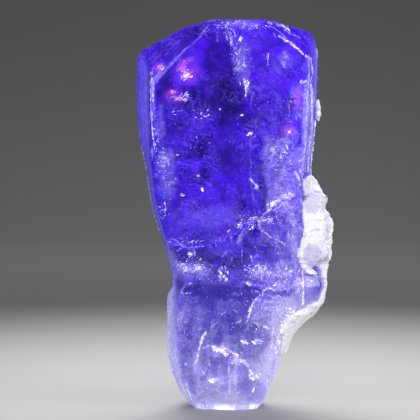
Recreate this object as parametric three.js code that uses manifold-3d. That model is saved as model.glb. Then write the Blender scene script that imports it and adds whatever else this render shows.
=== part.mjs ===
// Rough tanzanite: a bevelled violet prism on a paler lower lobe, with white rock matrix on its right side.
// Millimetres, +Z along the crystal's length, the broad front face towards -Y.
// The origin is at the middle of the box around the specimen, on the flat spot that it stands on.
import * as THREE from 'three';
import Module from 'manifold-3d';
import { LoftGeometry } from 'three/addons/geometries/LoftGeometry.js';
import { mergeVertices } from 'three/addons/utils/BufferGeometryUtils.js';

// ---- driving dimensions ----
const LENGTH = 23.1;          // foot to the top edge
const LEFT_MOST = -5.88;      // widest point of the upper prism
const CONTACT_GAP = 0.1;      // between the matrix and the crystal it sits on
const GROOVE_DEPTH = 0.08;    // lengthwise striations of the narrow side faces
const LIP = 0.5;              // height of the worn lip along the top edge

// Box around the cross-section at each height: [z, left x, right x, front y, back y].
const STATIONS = [
  [0.00, -2.70, 1.55, -2.03, 2.07],
  [0.45, -3.06, 1.90, -2.33, 2.32],
  [1.15, -3.48, 2.13, -2.58, 2.54],
  [2.20, -3.80, 2.52, -2.78, 2.72],
  [3.65, -4.10, 3.01, -2.93, 2.82],
  [5.10, -4.12, 3.45, -2.98, 2.87],
  [6.30, -4.12, 4.37, -2.98, 2.92],
  [7.10, -3.95, 4.52, -2.93, 2.94],
  [7.55, -3.74, 4.53, -2.90, 2.94],
  [8.35, -3.86, 4.54, -3.03, 2.97],
  [9.30, -4.15, 4.56, -3.16, 3.04],
  [10.15, -4.42, 4.60, -3.26, 3.12],
  [12.30, -5.04, 4.62, -3.32, 3.22],
  [14.10, -5.30, 4.52, -3.35, 3.30],
  [16.25, -5.70, 4.72, -3.38, 3.36],
  [18.40, LEFT_MOST, 4.84, -3.38, 3.38],
  [20.60, LEFT_MOST, 4.92, -3.38, 3.38],
  [LENGTH + 0.6, LEFT_MOST, 4.92, -3.38, 3.38],
];

// Corners of the cross-section inside that box: [share from left to right, share from front to back,
// number of striation grooves on the face that follows]. Anticlockwise seen from above.
const CORNERS = [
  [0.56, 0.00, 0],    // blunt ridge down the front
  [0.945, 0.13, 3],   // front right edge
  [1.00, 0.42, 2],    // right-hand edge
  [0.955, 0.70, 0],
  [0.79, 0.94, 2],
  [0.47, 1.00, 0],    // ridge down the back
  [0.13, 0.89, 2],
  [0.00, 0.50, 3],    // left-hand edge
  [0.083, 0.13, 0],   // front left edge
];

// Faces that bevel the top: a point on the face, and its slopes: z rises by a x + b y from that point.
const TOP_FACES = [
  { at: [-4.56, -2.57, 19.5], slope: [1.65, 2.83] },              // left front bevel, steep foot
  { at: [-3.9, -2.68, 20.45], slope: [1.25, 1.40] },              // left front bevel
  { at: [0.4, -3.38, LENGTH - LIP], slope: [0.00, 0.90] },        // worn lip of the top edge
  { at: [-1.3, -2.78, LENGTH], slope: [0.25, -0.05] },            // left, gently falling
  { at: [-2.9, -0.08, LENGTH - 0.4], slope: [0.54, -0.02] },       // left, steeper
  { at: [-5.1, -0.08, LENGTH - 1.3], slope: [1.15, -0.10] },       // worn left shoulder
  { at: [0.6, -2.78, LENGTH], slope: [0.00, -0.24] },             // broad face falling to the back
  { at: [2.1, -3.13, LENGTH - 0.6], slope: [-0.82, 1.00] },      // right front bevel
  { at: [3.3, -2.70, LENGTH - 1.3], slope: [-1.02, 1.00] },      // its steeper foot
  { at: [2.0, -2.78, LENGTH], slope: [-0.24, -0.05] },            // right, gently falling
  { at: [4.4, -0.08, LENGTH - 0.7], slope: [-2.30, -0.20] },       // worn right shoulder
];

// Broken ledges across the front: middle of the box that is cut away, its size, and its turns about
// Y and Z in degrees. The upper side of each box is the underside of a ledge.
const LEDGES = [
  { at: [-2.3, -3.00, 8.95], size: [4.2, 1.40, 1.10], turn: 8, yaw: -12 },
  { at: [-0.9, -3.30, 9.25], size: [3.0, 1.40, 1.00], turn: -15, yaw: -12 },
  { at: [1.9, -3.16, 10.25], size: [3.1, 1.20, 1.30], turn: 3, yaw: 15 },
];

// Conchoidal breaks: centre, radii and turn about Y in degrees of the hollow that each one leaves.
const BREAKS = [
  { at: [-1.02, -3.34, 2.40], radii: [1.60, 0.95, 1.50], turn: 0 },      // scoop low on the front
  { at: [-2.7, -3.03, 8.55], radii: [1.60, 0.85, 0.75], turn: 0 },       // hollow under the left ledge
  { at: [1.6, -3.23, 8.80], radii: [2.00, 0.75, 0.60], turn: -10 },      // hollow under the right one
  { at: [1.7, -2.93, 7.05], radii: [0.80, 0.60, 0.40], turn: 25 },       // pit under the waist
  { at: [-4.5, 0.12, 7.50], radii: [0.95, 2.00, 0.55], turn: 0 },         // notch in the left side
  { at: [-2.6, 4.12, 12.6], radii: [2.70, 1.90, 3.00], turn: 24 },       // large break on the back
  { at: [1.5, 4.12, 7.6], radii: [2.60, 1.75, 1.70], turn: -18 },        // and a lower one
  { at: [-1.4, 3.52, 2.8], radii: [1.60, 1.25, 1.70], turn: 0 },
];

// Side lobe grown into the right of the crystal: a short doubly tapered seven-sided prism.
const LOBE = { at: [3.55, -0.38, 7.20], depth: 1.1, sides: 7 };
const LOBE_PROFILE = [[0, -1.95], [0.95, -1.80], [1.75, -1.00], [1.95, 0.20], [1.65, 1.15], [0.70, 1.60], [0, 1.70]];

// Matrix: [z, outermost x, half depth]. It swells around a line inside the crystal's right edge.
const MATRIX = [
  [2.45, 2.45, 0.80],
  [2.80, 2.92, 1.60],
  [3.15, 3.10, 2.05],
  [3.60, 3.30, 2.35],
  [4.05, 3.48, 2.50],
  [4.70, 3.90, 2.60],
  [5.15, 4.40, 2.65],
  [5.80, 5.02, 2.70],
  [6.60, 5.32, 2.75],
  [7.60, 5.56, 2.80],
  [8.40, 5.62, 2.85],
  [9.20, 5.66, 2.92],
  [9.80, 5.68, 2.98],
  [10.40, 5.80, 3.00],
  [10.90, 5.88, 2.95],
  [11.40, 5.64, 2.85],
  [11.90, 5.38, 2.80],
  [12.40, 5.46, 2.70],
  [12.90, 5.22, 2.50],
  [13.35, 4.92, 2.20],
  [13.70, 4.74, 1.70],
  [13.95, 4.50, 0.80],
];
const MATRIX_INSET = 1.3;     // that line's distance inside the crystal's right edge
const MATRIX_MIDDLE_Y = 0.02;
const MATRIX_SIDES = 22;
const MATRIX_WAVE = 0.07;     // height of its low waves, as a share of its size
// Blocky knobs on the matrix: [x, y, z, radius].
const KNOBS = [
  [4.10, -1.33, 10.9, 1.50],
  [4.30, 0.42, 9.3, 1.50],
  [4.20, 1.22, 11.2, 1.30],
  [4.25, -0.63, 12.2, 1.15],
  [4.10, -1.53, 9.4, 1.25],
  [3.90, 1.52, 7.6, 1.60],
  [4.00, 0.32, 6.3, 1.10],
  [3.00, -0.78, 5.2, 0.90],
];
const KNOB_STRETCH = [1.0, 0.9, 1.2];
// Opening in the front of the matrix, through which the side lobe shows.
const WINDOW = { at: [4.55, -3.03, 7.30], radii: [0.95, 2.45, 1.20], turn: 0 };

// Crumb of matrix high on the right edge: centre, radius and stretch.
const CHIP = { at: [4.62, -0.63, 17.75], radius: 0.62, stretch: [0.75, 0.90, 1.25], turn: 23 };

// ---- solids ----
const wasm = await Module();
wasm.setup();

function toSolid(geometry) {
  const bare = new THREE.BufferGeometry();
  bare.setAttribute('position', geometry.attributes.position);
  bare.setIndex(geometry.index);
  const merged = mergeVertices(bare, 1e-5);
  return new wasm.Manifold(new wasm.Mesh({
    numProp: 3,
    vertProperties: new Float32Array(merged.attributes.position.array),
    triVerts: new Uint32Array(merged.index.array),
  }));
}

function toMesh(name, solid, look) {
  const { vertProperties, triVerts } = solid.getMesh();
  const geometry = new THREE.BufferGeometry();
  geometry.setAttribute('position', new THREE.BufferAttribute(vertProperties, 3));
  geometry.setIndex(new THREE.BufferAttribute(triVerts, 1));
  const mesh = new THREE.Mesh(geometry, new THREE.MeshStandardMaterial(look));
  mesh.name = name;
  return mesh;
}

// Cross-section at one station, grown outwards by `grow`, with grooves cut into the striated faces.
function crossSection([z, left, right, front, back], grow) {
  const middle = new THREE.Vector2((left + right) / 2, (front + back) / 2);
  const corner = CORNERS.map(([across, deep]) => new THREE.Vector2(
    THREE.MathUtils.lerp(left - grow, right + grow, across),
    THREE.MathUtils.lerp(front - grow, back + grow, deep),
  ));
  const points = [];
  corner.forEach((start, k) => {
    const end = corner[(k + 1) % corner.length];
    const grooves = CORNERS[k][2];
    points.push(start);
    for (let g = 1; g <= grooves; g += 1) {
      const lip = start.clone().lerp(end, (g - 0.35) / (grooves + 0.4));
      const foot = start.clone().lerp(end, (g - 0.05) / (grooves + 0.4));
      const inwards = middle.clone().sub(foot).setLength(GROOVE_DEPTH);
      points.push(lip, foot.add(inwards));
    }
  });
  return points.map((p) => new THREE.Vector3(p.x, p.y, z));
}

// Everything above a sloping face, as a box that is cut away.
function aboveFace({ at, slope }, grow) {
  const size = 4 * LENGTH;
  const normal = new THREE.Vector3(-slope[0], -slope[1], 1).normalize();
  const box = new THREE.BoxGeometry(size, size, size);
  box.translate(0, 0, size / 2 + grow);
  box.applyQuaternion(new THREE.Quaternion().setFromUnitVectors(new THREE.Vector3(0, 0, 1), normal));
  box.translate(...at);
  return toSolid(box);
}

function ellipsoid({ at, radii, turn }) {
  const ball = new THREE.IcosahedronGeometry(1, 3);
  ball.scale(...radii);
  ball.rotateY(THREE.MathUtils.degToRad(turn));
  ball.translate(...at);
  return toSolid(ball);
}

function ledge({ at, size, turn, yaw }) {
  const box = new THREE.BoxGeometry(...size);
  box.rotateY(THREE.MathUtils.degToRad(turn));
  box.rotateZ(THREE.MathUtils.degToRad(yaw));
  box.translate(...at);
  return toSolid(box);
}

function sideLobe(grow) {
  const profile = LOBE_PROFILE.map(([radius, z]) => new THREE.Vector2(radius && radius + grow, z + Math.sign(z) * grow));
  const bead = new THREE.LatheGeometry(profile, LOBE.sides);
  bead.rotateX(Math.PI / 2);
  bead.scale(1, LOBE.depth, 1);
  bead.translate(...LOBE.at);
  return toSolid(bead);
}

// The crystal as it would be unbroken, or the same shape grown outwards to cut the matrix clear of it.
function wholeCrystal(grow) {
  const sections = STATIONS.map((station) => crossSection(station, grow));
  let solid = toSolid(new LoftGeometry(sections, { capStart: true, capEnd: true }));
  for (const face of TOP_FACES) solid = solid.subtract(aboveFace(face, grow));
  return solid.add(sideLobe(grow));
}

function brokenCrystal() {
  let solid = wholeCrystal(0);
  for (const box of LEDGES) solid = solid.subtract(ledge(box));
  for (const hollow of BREAKS) solid = solid.subtract(ellipsoid(hollow));
  return solid;
}

// The crystal's right edge at a height, between the stations around it.
function rightEdgeAt(z) {
  const upper = STATIONS.findIndex((station) => station[0] > z);
  const [z0, , x0] = STATIONS[upper - 1];
  const [z1, , x1] = STATIONS[upper];
  return THREE.MathUtils.mapLinear(z, z0, z1, x0, x1);
}

// One slice of the matrix: an ellipse whose radius rises and falls in three waves.
function matrixSection([z, outermost, depth]) {
  const middle = rightEdgeAt(z) - MATRIX_INSET;
  const points = [];
  for (let k = 0; k < MATRIX_SIDES; k += 1) {
    const angle = (2 * Math.PI * k) / MATRIX_SIDES;
    const waves = Math.sin(5 * angle + 1.9 * z) + Math.sin(3 * angle - 2.7 * z) + Math.sin(7 * angle + 4.1 * z);
    const swell = 1 + MATRIX_WAVE * waves * Math.abs(Math.sin(angle));
    points.push(new THREE.Vector3(
      middle + (outermost - middle) * Math.cos(angle) * swell,
      MATRIX_MIDDLE_Y + depth * Math.sin(angle) * swell,
      z,
    ));
  }
  return points;
}

// The clearance can cut small crumbs loose inside the crystal's hollows; only the main body is kept.
function largestBody(solid) {
  const bodies = solid.decompose();
  return bodies.reduce((best, body) => (body.volume() > best.volume() ? body : best));
}

// The part of space that the matrix doesn't reach: left of the crystal's front right and back right edges.
function bareSide() {
  const far = 2 * LENGTH;
  const sections = STATIONS.map(([z, left, right]) => {
    const frontEdge = THREE.MathUtils.lerp(left, right, CORNERS[1][0]);
    const backEdge = THREE.MathUtils.lerp(left, right, CORNERS[4][0]);
    const outline = [[-far, -far], [frontEdge, -far], [frontEdge, 0], [backEdge, 0], [backEdge, far], [-far, far]];
    return outline.map(([x, y]) => new THREE.Vector3(x, y, z));
  });
  return toSolid(new LoftGeometry(sections, { capStart: true, capEnd: true }));
}

function matrixCrust(clearance) {
  let crust = toSolid(new LoftGeometry(MATRIX.map(matrixSection), { capStart: true, capEnd: true }));
  KNOBS.forEach(([x, y, z, radius], k) => {
    const knob = new THREE.IcosahedronGeometry(radius);
    knob.rotateX(k);
    knob.scale(...KNOB_STRETCH);
    knob.translate(x, y, z);
    crust = crust.add(toSolid(knob));
  });
  return largestBody(crust.subtract(ellipsoid(WINDOW)).subtract(bareSide()).subtract(clearance));
}

function matrixChip(clearance) {
  const crumb = new THREE.DodecahedronGeometry(CHIP.radius);
  crumb.scale(...CHIP.stretch);
  crumb.rotateZ(THREE.MathUtils.degToRad(CHIP.turn));
  crumb.translate(...CHIP.at);
  return toSolid(crumb).subtract(clearance);
}

// ---- the specimen ----
const clearance = wholeCrystal(CONTACT_GAP);
const specimen = new THREE.Group();
specimen.add(
  toMesh('tanzanite_crystal', brokenCrystal(), { color: 0x3a22b8, roughness: 0.15, metalness: 0 }),
  toMesh('matrix_crust', matrixCrust(clearance), { color: 0xe4e2ec, roughness: 0.85, metalness: 0 }),
  toMesh('matrix_chip', matrixChip(clearance), { color: 0xe4e2ec, roughness: 0.85, metalness: 0 }),
);

export default specimen;
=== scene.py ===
import math

import bpy
import numpy as np
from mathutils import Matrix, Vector


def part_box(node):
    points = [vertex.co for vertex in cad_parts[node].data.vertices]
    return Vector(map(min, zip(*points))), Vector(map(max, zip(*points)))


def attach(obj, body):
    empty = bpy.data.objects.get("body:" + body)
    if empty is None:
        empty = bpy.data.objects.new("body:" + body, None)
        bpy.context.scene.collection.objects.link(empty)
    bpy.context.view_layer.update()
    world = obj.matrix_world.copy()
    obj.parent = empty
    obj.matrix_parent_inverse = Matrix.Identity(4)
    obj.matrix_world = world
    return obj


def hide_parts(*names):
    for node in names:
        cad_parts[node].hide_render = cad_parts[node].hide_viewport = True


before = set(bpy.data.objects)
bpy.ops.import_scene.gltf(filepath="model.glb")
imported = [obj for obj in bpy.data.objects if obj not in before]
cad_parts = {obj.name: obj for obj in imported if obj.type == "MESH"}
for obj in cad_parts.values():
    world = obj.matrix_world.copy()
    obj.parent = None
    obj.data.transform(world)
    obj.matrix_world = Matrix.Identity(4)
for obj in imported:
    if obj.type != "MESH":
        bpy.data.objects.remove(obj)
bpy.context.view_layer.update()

# ---------------------------------------------------------------- driving values
# The specimen is worked out in millimetres and put into its meshes in metres.
MM = 0.001
crystal_low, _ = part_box("tanzanite_crystal")
_, crust_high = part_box("matrix_crust")
chip_low, chip_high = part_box("matrix_chip")
LENGTH = 23.1
LEFT_MOST = crystal_low.x / MM
TOP_CENTRE = (-0.4, -0.3)     # where the rings of the top close

# Box around the cross-section at each height: z, left x, right x, front y, back y.
STATIONS = np.array([
    [0.00, -2.70, 1.55, -2.03, 2.07],
    [0.45, -3.06, 1.90, -2.33, 2.32],
    [1.15, -3.48, 2.13, -2.58, 2.54],
    [2.20, -3.80, 2.52, -2.78, 2.72],
    [3.65, -4.10, 3.01, -2.93, 2.82],
    [5.10, -4.12, 3.45, -2.98, 2.87],
    [6.30, -4.12, 4.37, -2.98, 2.92],
    [7.10, -3.95, 4.52, -2.93, 2.94],
    [7.55, -3.74, 4.53, -2.90, 2.94],
    [8.35, -3.86, 4.54, -3.03, 2.97],
    [9.30, -4.15, 4.56, -3.16, 3.04],
    [10.15, -4.42, 4.60, -3.26, 3.12],
    [12.30, -5.04, 4.62, -3.32, 3.22],
    [14.10, -5.30, 4.52, -3.35, 3.30],
    [16.25, -5.70, 4.72, -3.37, 3.36],
    [18.40, LEFT_MOST, 4.84, -3.37, 3.37],
    [20.60, LEFT_MOST, 4.92, -3.37, 3.37],
    [23.70, LEFT_MOST, 4.92, -3.37, 3.37],
])

# Corners of the cross-section, as shares across and into that box, anticlockwise seen from above,
# with the grid columns on the face that follows, and the depth of that face's striations.
CORNERS = np.array([
    [0.56, 0.00, 62, 0.010],
    [0.945, 0.13, 40, 0.055],
    [1.00, 0.42, 28, 0.055],
    [0.955, 0.70, 28, 0.040],
    [0.79, 0.94, 36, 0.045],
    [0.47, 1.00, 38, 0.030],
    [0.13, 0.89, 32, 0.045],
    [0.00, 0.50, 38, 0.060],
    [0.083, 0.13, 76, 0.010],
])
LEFT_SLIDE = 0.042            # how far across the last corner slides outwards below the upper third
RIDGE_DRIFT = 0.022           # how far across the front ridge drifts for each millimetre down from the top

# Faces of the top: a point on each, and its slopes along x and y.
TOP_FACES = np.array([
    [-4.56, -2.57, 19.50, 1.65, 2.83],
    [-3.9, -2.68, 20.45, 1.25, 1.40],
    [0.4, -3.38, LENGTH - 0.50, 0.00, 0.90],
    [-1.3, -2.78, LENGTH, 0.25, -0.05],
    [-2.9, -0.08, LENGTH - 0.40, 0.54, -0.02],
    [-5.1, -0.08, LENGTH - 1.30, 1.15, -0.10],
    [0.6, -2.78, LENGTH, 0.00, -0.24],
    [2.1, -3.13, LENGTH - 0.60, -0.82, 1.00],
    [3.3, -2.70, LENGTH - 1.30, -1.02, 1.00],
    [2.0, -2.78, LENGTH, -0.24, -0.05],
    [4.4, -0.08, LENGTH - 0.70, -2.30, -0.20],
])

# Conchoidal breaks: centre, radii, turn about Y in degrees.
BREAKS = [
    ((-1.02, -3.34, 2.40), (1.60, 0.95, 1.50), 0),
    ((-2.7, -3.03, 8.55), (1.60, 0.85, 0.75), 0),
    ((1.6, -3.23, 8.80), (2.00, 0.45, 0.60), -10),
    ((1.7, -2.93, 7.05), (0.80, 0.60, 0.40), 25),
    ((-4.6, 0.12, 7.30), (0.86, 2.00, 0.75), 0),
    ((-2.6, 4.12, 12.6), (2.70, 1.90, 3.00), 24),
    ((1.5, 4.12, 7.6), (2.60, 1.75, 1.70), -18),
    ((-1.4, 3.52, 2.8), (1.60, 1.25, 1.70), 0),
]

# The broken ledge across the front, as a line in x and z; below it the face steps back.
LEDGE_X = np.array([-4.5, -4.13, -2.91, -1.79, 0.14, 0.43, 1.54, 2.37, 3.79])
LEDGE_Z = np.array([10.18, 10.03, 9.77, 9.91, 10.71, 11.18, 11.59, 12.4, 12.78])
LEDGE_DEPTH = 0.27
LEDGE_FALL = 2.5              # height over which the step runs out again below the ledge

# Side lobe: centre, stretch front to back, number of sides, and its profile of radius and height.
LOBE_AT = np.array([3.55, -0.38, 7.20])
LOBE_STRETCH = 1.1
LOBE_SIDES = 7
LOBE_PROFILE = np.array([[0.95, -1.80], [1.75, -1.00], [1.95, 0.20], [1.65, 1.15], [0.70, 1.60]])
LOBE_ENDS = (-1.93, 1.68)

# Matrix: z, outermost x, half depth of its swelling, and blocky knobs of x, y, z, radius.
MATRIX = np.array([
    [2.45, 2.45, 0.80], [2.80, 2.92, 1.60], [3.15, 3.10, 2.05], [3.60, 3.30, 2.35], [4.05, 3.48, 2.50],
    [4.70, 3.90, 2.60], [5.15, 4.40, 2.65], [5.80, 5.02, 2.70], [6.60, 5.32, 2.75], [7.60, 5.56, 2.80],
    [8.40, 5.62, 2.85], [9.20, 5.66, 2.92], [9.80, 5.68, 2.98], [10.40, 5.80, 3.00], [10.90, 5.88, 2.95],
    [11.40, 5.64, 2.85], [11.90, 5.38, 2.80], [12.40, 5.46, 2.70], [12.90, 5.22, 2.50], [13.35, 4.92, 2.20],
    [13.70, 4.74, 1.70], [13.95, 4.50, 0.80],
])
MATRIX_INSET = 1.3
MATRIX_MIDDLE_Y = 0.02
KNOBS = np.array([
    [4.10, -1.33, 10.9, 1.36], [4.30, 0.42, 9.3, 1.36], [4.20, 1.22, 11.2, 1.18], [4.25, -0.63, 12.2, 1.05],
    [4.10, -1.53, 9.4, 1.12], [3.90, 1.52, 7.6, 1.45], [4.00, 0.32, 6.3, 1.02], [3.00, -0.78, 5.2, 0.82],
])
# Where the matrix leaves the side lobe bare, seen from the front: corners in x and z.
WINDOW = np.array([
    [3.63, 8.63], [4.04, 8.58], [4.37, 8.33], [4.61, 8.15], [4.85, 8.03], [5.07, 8.12], [5.19, 8.55],
    [5.34, 8.83], [5.51, 8.39], [5.51, 7.67], [5.46, 7.11], [5.06, 6.60], [4.49, 6.26], [3.64, 6.01],
])
# How far left the matrix reaches on the front: z and x of its ragged border.
FRONT_BORDER = np.array([
    [2.6, 2.30], [3.6, 2.34], [4.4, 2.46], [4.95, 2.64], [5.7, 3.15], [6.1, 4.00], [8.2, 4.04], [8.7, 3.78],
    [9.2, 3.62], [9.8, 3.70], [10.4, 3.88], [10.9, 3.96], [13.2, 3.98], [13.7, 3.92], [14.0, 3.85],
])


# ---------------------------------------------------------------- noise
def hashed(cells, seed):
    """A number from 0 to 1 for each whole-numbered cell, the same on each run."""
    i = cells.astype(np.int64)
    h = (i[..., 0] * 73856093) ^ (i[..., 1] * 19349663) ^ (i[..., 2] * 83492791) ^ (seed * 2654435)
    h = (h ^ (h >> 13)) * 1274126177 & 0xFFFFFFFF
    h = (h ^ (h >> 16)) * 2246822519 & 0xFFFFFFFF
    return ((h ^ (h >> 15)) & 0xFFFFFF) / float(0xFFFFFF)


def soft_noise(points, cell, seed):
    """Value noise from -1 to 1: random numbers on a lattice of that cell, blended smoothly between."""
    q = points / cell
    base = np.floor(q)
    f = q - base
    f = f * f * (3 - 2 * f)
    total = np.zeros(points.shape[:-1])
    for corner in range(8):
        offset = np.array([corner & 1, corner >> 1 & 1, corner >> 2 & 1])
        weight = np.prod(np.where(offset == 1, f, 1 - f), axis=-1)
        total += weight * hashed(base + offset, seed)
    return total * 2 - 1


def rough_noise(points, cell, seed, octaves):
    """Fractal noise: soft noise added to itself at half the cell and half the height each time."""
    total = np.zeros(points.shape[:-1])
    for k in range(octaves):
        total += soft_noise(points, cell / 2 ** k, seed + k) / 2 ** k
    return total


def blocky_noise(points, cell, seed):
    """Broken-rock noise: each point takes the tilted plane of the nearest of one random seed per cell."""
    q = points / cell
    base = np.floor(q)
    nearest = np.full(points.shape[:-1], 9.0)
    value = np.zeros(points.shape[:-1])
    for n in range(27):
        offset = np.array([n % 3 - 1, n // 3 % 3 - 1, n // 9 - 1])
        home = base + offset
        jitter = np.stack([hashed(home, seed + a) for a in range(3)], axis=-1)
        away = q - home - jitter
        distance = (away ** 2).sum(-1)
        tilt = np.stack([hashed(home, seed + 5 + a) for a in range(3)], axis=-1) * 2 - 1
        plane = hashed(home, seed + 9) * 2 - 1 + (away * tilt).sum(-1)
        closer = distance < nearest
        nearest = np.where(closer, distance, nearest)
        value = np.where(closer, plane, value)
    return value


def smooth_step(low, high, x):
    t = np.clip((x - low) / (high - low), 0, 1)
    return t * t * (3 - 2 * t)


def between(x, low, full_from, full_to, high):
    """1 from `full_from` to `full_to`, falling smoothly to 0 at `low` and at `high`."""
    return smooth_step(low, full_from, x) * smooth_step(high, full_to, x)


def through_stations(z, column, table=STATIONS):
    """One column of a table at heights z, on a smooth curve through its rows with limited slopes."""
    zs, values = table[:, 0], table[:, column]
    chord = np.diff(values) / np.diff(zs)
    agree = chord[:-1] * chord[1:]
    mean = 2 * agree / np.where(agree > 0, chord[:-1] + chord[1:], 1)
    slope = np.concatenate([chord[:1], np.where(agree > 0, mean, 0), chord[-1:]])
    z = np.clip(z, zs[0], zs[-1])
    k = np.clip(np.searchsorted(zs, z, side="right") - 1, 0, len(zs) - 2)
    h = zs[k + 1] - zs[k]
    t = (z - zs[k]) / h
    hermite = h * (t * (1 - t) ** 2 * slope[k] - t * t * (1 - t) * slope[k + 1])
    return values[k] + (values[k + 1] - values[k]) * (t * t * (3 - 2 * t)) + hermite


def line_distance(x, z, points):
    """Distance in x and z from each point to a line drawn through `points`."""
    best = np.full(np.shape(x), 99.0)
    for (x0, z0), (x1, z1) in zip(points[:-1], points[1:]):
        along = ((x - x0) * (x1 - x0) + (z - z0) * (z1 - z0)) / ((x1 - x0) ** 2 + (z1 - z0) ** 2)
        along = np.clip(along, 0, 1)
        gap = np.hypot(x - x0 - along * (x1 - x0), z - z0 - along * (z1 - z0))
        best = np.minimum(best, gap)
    return best


# ---------------------------------------------------------------- meshes
def new_object(name, points, faces, materials, smooth=True):
    """A mesh object at the origin from points in metres and faces."""
    mesh = bpy.data.meshes.new(name)
    mesh.from_pydata(np.asarray(points).tolist(), [], [tuple(f) for f in faces])
    for material in materials:
        mesh.materials.append(material)
    mesh.polygons.foreach_set("use_smooth", np.full(len(mesh.polygons), smooth))
    mesh.update()
    thing = bpy.data.objects.new(name, mesh)
    bpy.context.scene.collection.objects.link(thing)
    return thing


def new_piece(name, points_mm, faces, materials, body="root", smooth=True, face_slots=None):
    """A piece of the specimen from points in millimetres, with its material slot, riding on a body."""
    piece = new_object(name, np.asarray(points_mm) * MM, faces, materials, smooth)
    if face_slots is not None:
        piece.data.polygons.foreach_set("material_index", np.asarray(face_slots, np.int32))
        piece.data.update()
    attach(piece, body)
    return piece


def add_mask(piece, name, values):
    mask = piece.data.attributes.new(name, "FLOAT", "POINT")
    mask.data.foreach_set("value", np.asarray(values, np.float32).ravel())


def capped_faces(rows, columns):
    """Faces of a grid that closes on itself across its columns, rows upwards and columns anticlockwise,
    and whose ends close on the two points that follow it: its quads, and all faces together."""
    r, c = np.meshgrid(np.arange(rows - 1), np.arange(columns), indexing="ij")
    here, right = r * columns + c, r * columns + (c + 1) % columns
    quads = np.stack([here, right, right + columns, here + columns], axis=-1).reshape(-1, 4)
    end, c = rows * columns, np.arange(columns)
    after = (c + 1) % columns
    below = np.stack([np.full(columns, end), after, c], -1)
    above = np.stack([np.full(columns, end + 1), end - columns + c, end - columns + after], -1)
    return quads, quads.tolist() + below.tolist() + above.tolist()


def vertex_values(piece, what):
    """The `co` or the `normal` of each vertex."""
    values = np.zeros(len(piece.data.vertices) * 3, np.float32)
    piece.data.vertices.foreach_get(what, values)
    return values.reshape(-1, 3)


# ---------------------------------------------------------------- the crystal's shape
FOOT_RINGS = 5
LOW_ROWS, HIGH_ROWS = 134, 88
LEVEL_Z = 14.0                # below this the rows are level, above it they reach for the top edge
TOP_RINGS = 34
CROWDING = 0.10 / np.pi       # how far columns move towards the corners, as a share of their face
TOP_WEAR = 0.008              # how far worn edges of the top are rounded
TOP_STEPS = (0.21, 0.47)      # widths of the growth steps on the right bevel and on the rest of the top
WAIST_Z = 8.9                 # height of the most broken part
LEVEL_SPEED = 1e-6            # a direction that nears a face of the side lobe slower than this misses it
SHARP_EDGE = 45               # degrees between two faces from which their edge catches no rounded light
FROSTED_FROM = 0.86           # mean frost at which a face takes the bruised finish
# Faces of the section by number.
RIGHT_FACES, RIGHT_NARROW, LEFT_NARROW = (1, 2, 3), 1, 7


def column_layout():
    """For each grid column: the face it is on, and its share along that face. Columns crowd towards the
    corners, so that each edge has a narrow worn rounding."""
    face, share = [], []
    for k, count in enumerate(CORNERS[:, 2].astype(int)):
        t = np.arange(count) / count
        face.append(np.full(count, k))
        share.append(t - CROWDING * np.sin(2 * np.pi * t))
    return np.concatenate(face), np.concatenate(share)


COLUMN_FACE, COLUMN_SHARE = column_layout()
COLUMNS = len(COLUMN_FACE)


def section_point(z):
    """Plain cross-section: each column's x and y at heights z (rows by columns), on the corner polygon
    stretched into the box of the stations. The front ridge drifts to the right as it comes down."""
    left, right, front, back = (through_stations(z, c) for c in (1, 2, 3, 4))
    after = (COLUMN_FACE + 1) % len(CORNERS)
    sway = np.clip((LENGTH - z) * RIDGE_DRIFT, 0, 0.10) - 0.05
    slide = -LEFT_SLIDE * between(z, 8.0, 10.0, 13.8, 17.5)

    def across_at(corner):
        moved = np.where(corner == 0, sway, np.where(corner == len(CORNERS) - 1, slide, 0))
        return CORNERS[corner, 0] + moved

    across = across_at(COLUMN_FACE) * (1 - COLUMN_SHARE) + across_at(after) * COLUMN_SHARE
    deep = CORNERS[COLUMN_FACE, 1] * (1 - COLUMN_SHARE) + CORNERS[after, 1] * COLUMN_SHARE
    return left + (right - left) * across, front + (back - front) * deep


def top_height(x, y):
    """Height of the top: the lowest of its faces, with edges worn over a few hundredths of a millimetre."""
    face_x, face_y, level, slope_x, slope_y = TOP_FACES.T
    heights = level + slope_x * (x[..., None] - face_x) + slope_y * (y[..., None] - face_y)
    lowest = heights.min(-1)
    return lowest - TOP_WEAR * np.log(np.exp(-(heights - lowest[..., None]) / TOP_WEAR).sum(-1))


def top_steps(x, y):
    """Growth steps on the top: a saw-tooth of low terraces, parallel to the right bevel's foot."""
    q = (y + 3.1) - 0.25 * (x - 2.1)
    coarse, fine = (q / step - np.floor(q / step) for step in TOP_STEPS)
    right_bevel = smooth_step(1.6, 2.4, x) * smooth_step(-0.4, -1.0, y)
    return -0.075 * coarse * right_bevel - 0.02 * fine * (1 - right_bevel)


def striations(perimeter, z, seed):
    """Lengthwise striations from 0 to 1: random steps across the face, each drifting a little with z."""
    total = np.zeros(np.broadcast(perimeter, z).shape)
    for k, (width, share) in enumerate(((0.42, 0.5), (0.23, 0.3), (0.12, 0.2))):
        flow = perimeter / width + 0.35 * np.sin(z * (0.21 + 0.1 * k) + seed + k)
        cell = np.floor(flow)
        here, after = (hashed(np.stack([cell + n, 0 * cell + k, 0 * cell], -1), seed) for n in (0, 1))
        total += (here + (after - here) * smooth_step(0.72, 1.0, flow - cell)) * share
    return total


def outward_unit(x, y):
    """Level direction from the section's middle through each point."""
    middle = (x.max(-1, keepdims=True) + x.min(-1, keepdims=True)) / 2
    dx, dy = x - middle, y * 1.6
    size = np.hypot(dx, dy)
    return dx / size, dy / size


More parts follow.
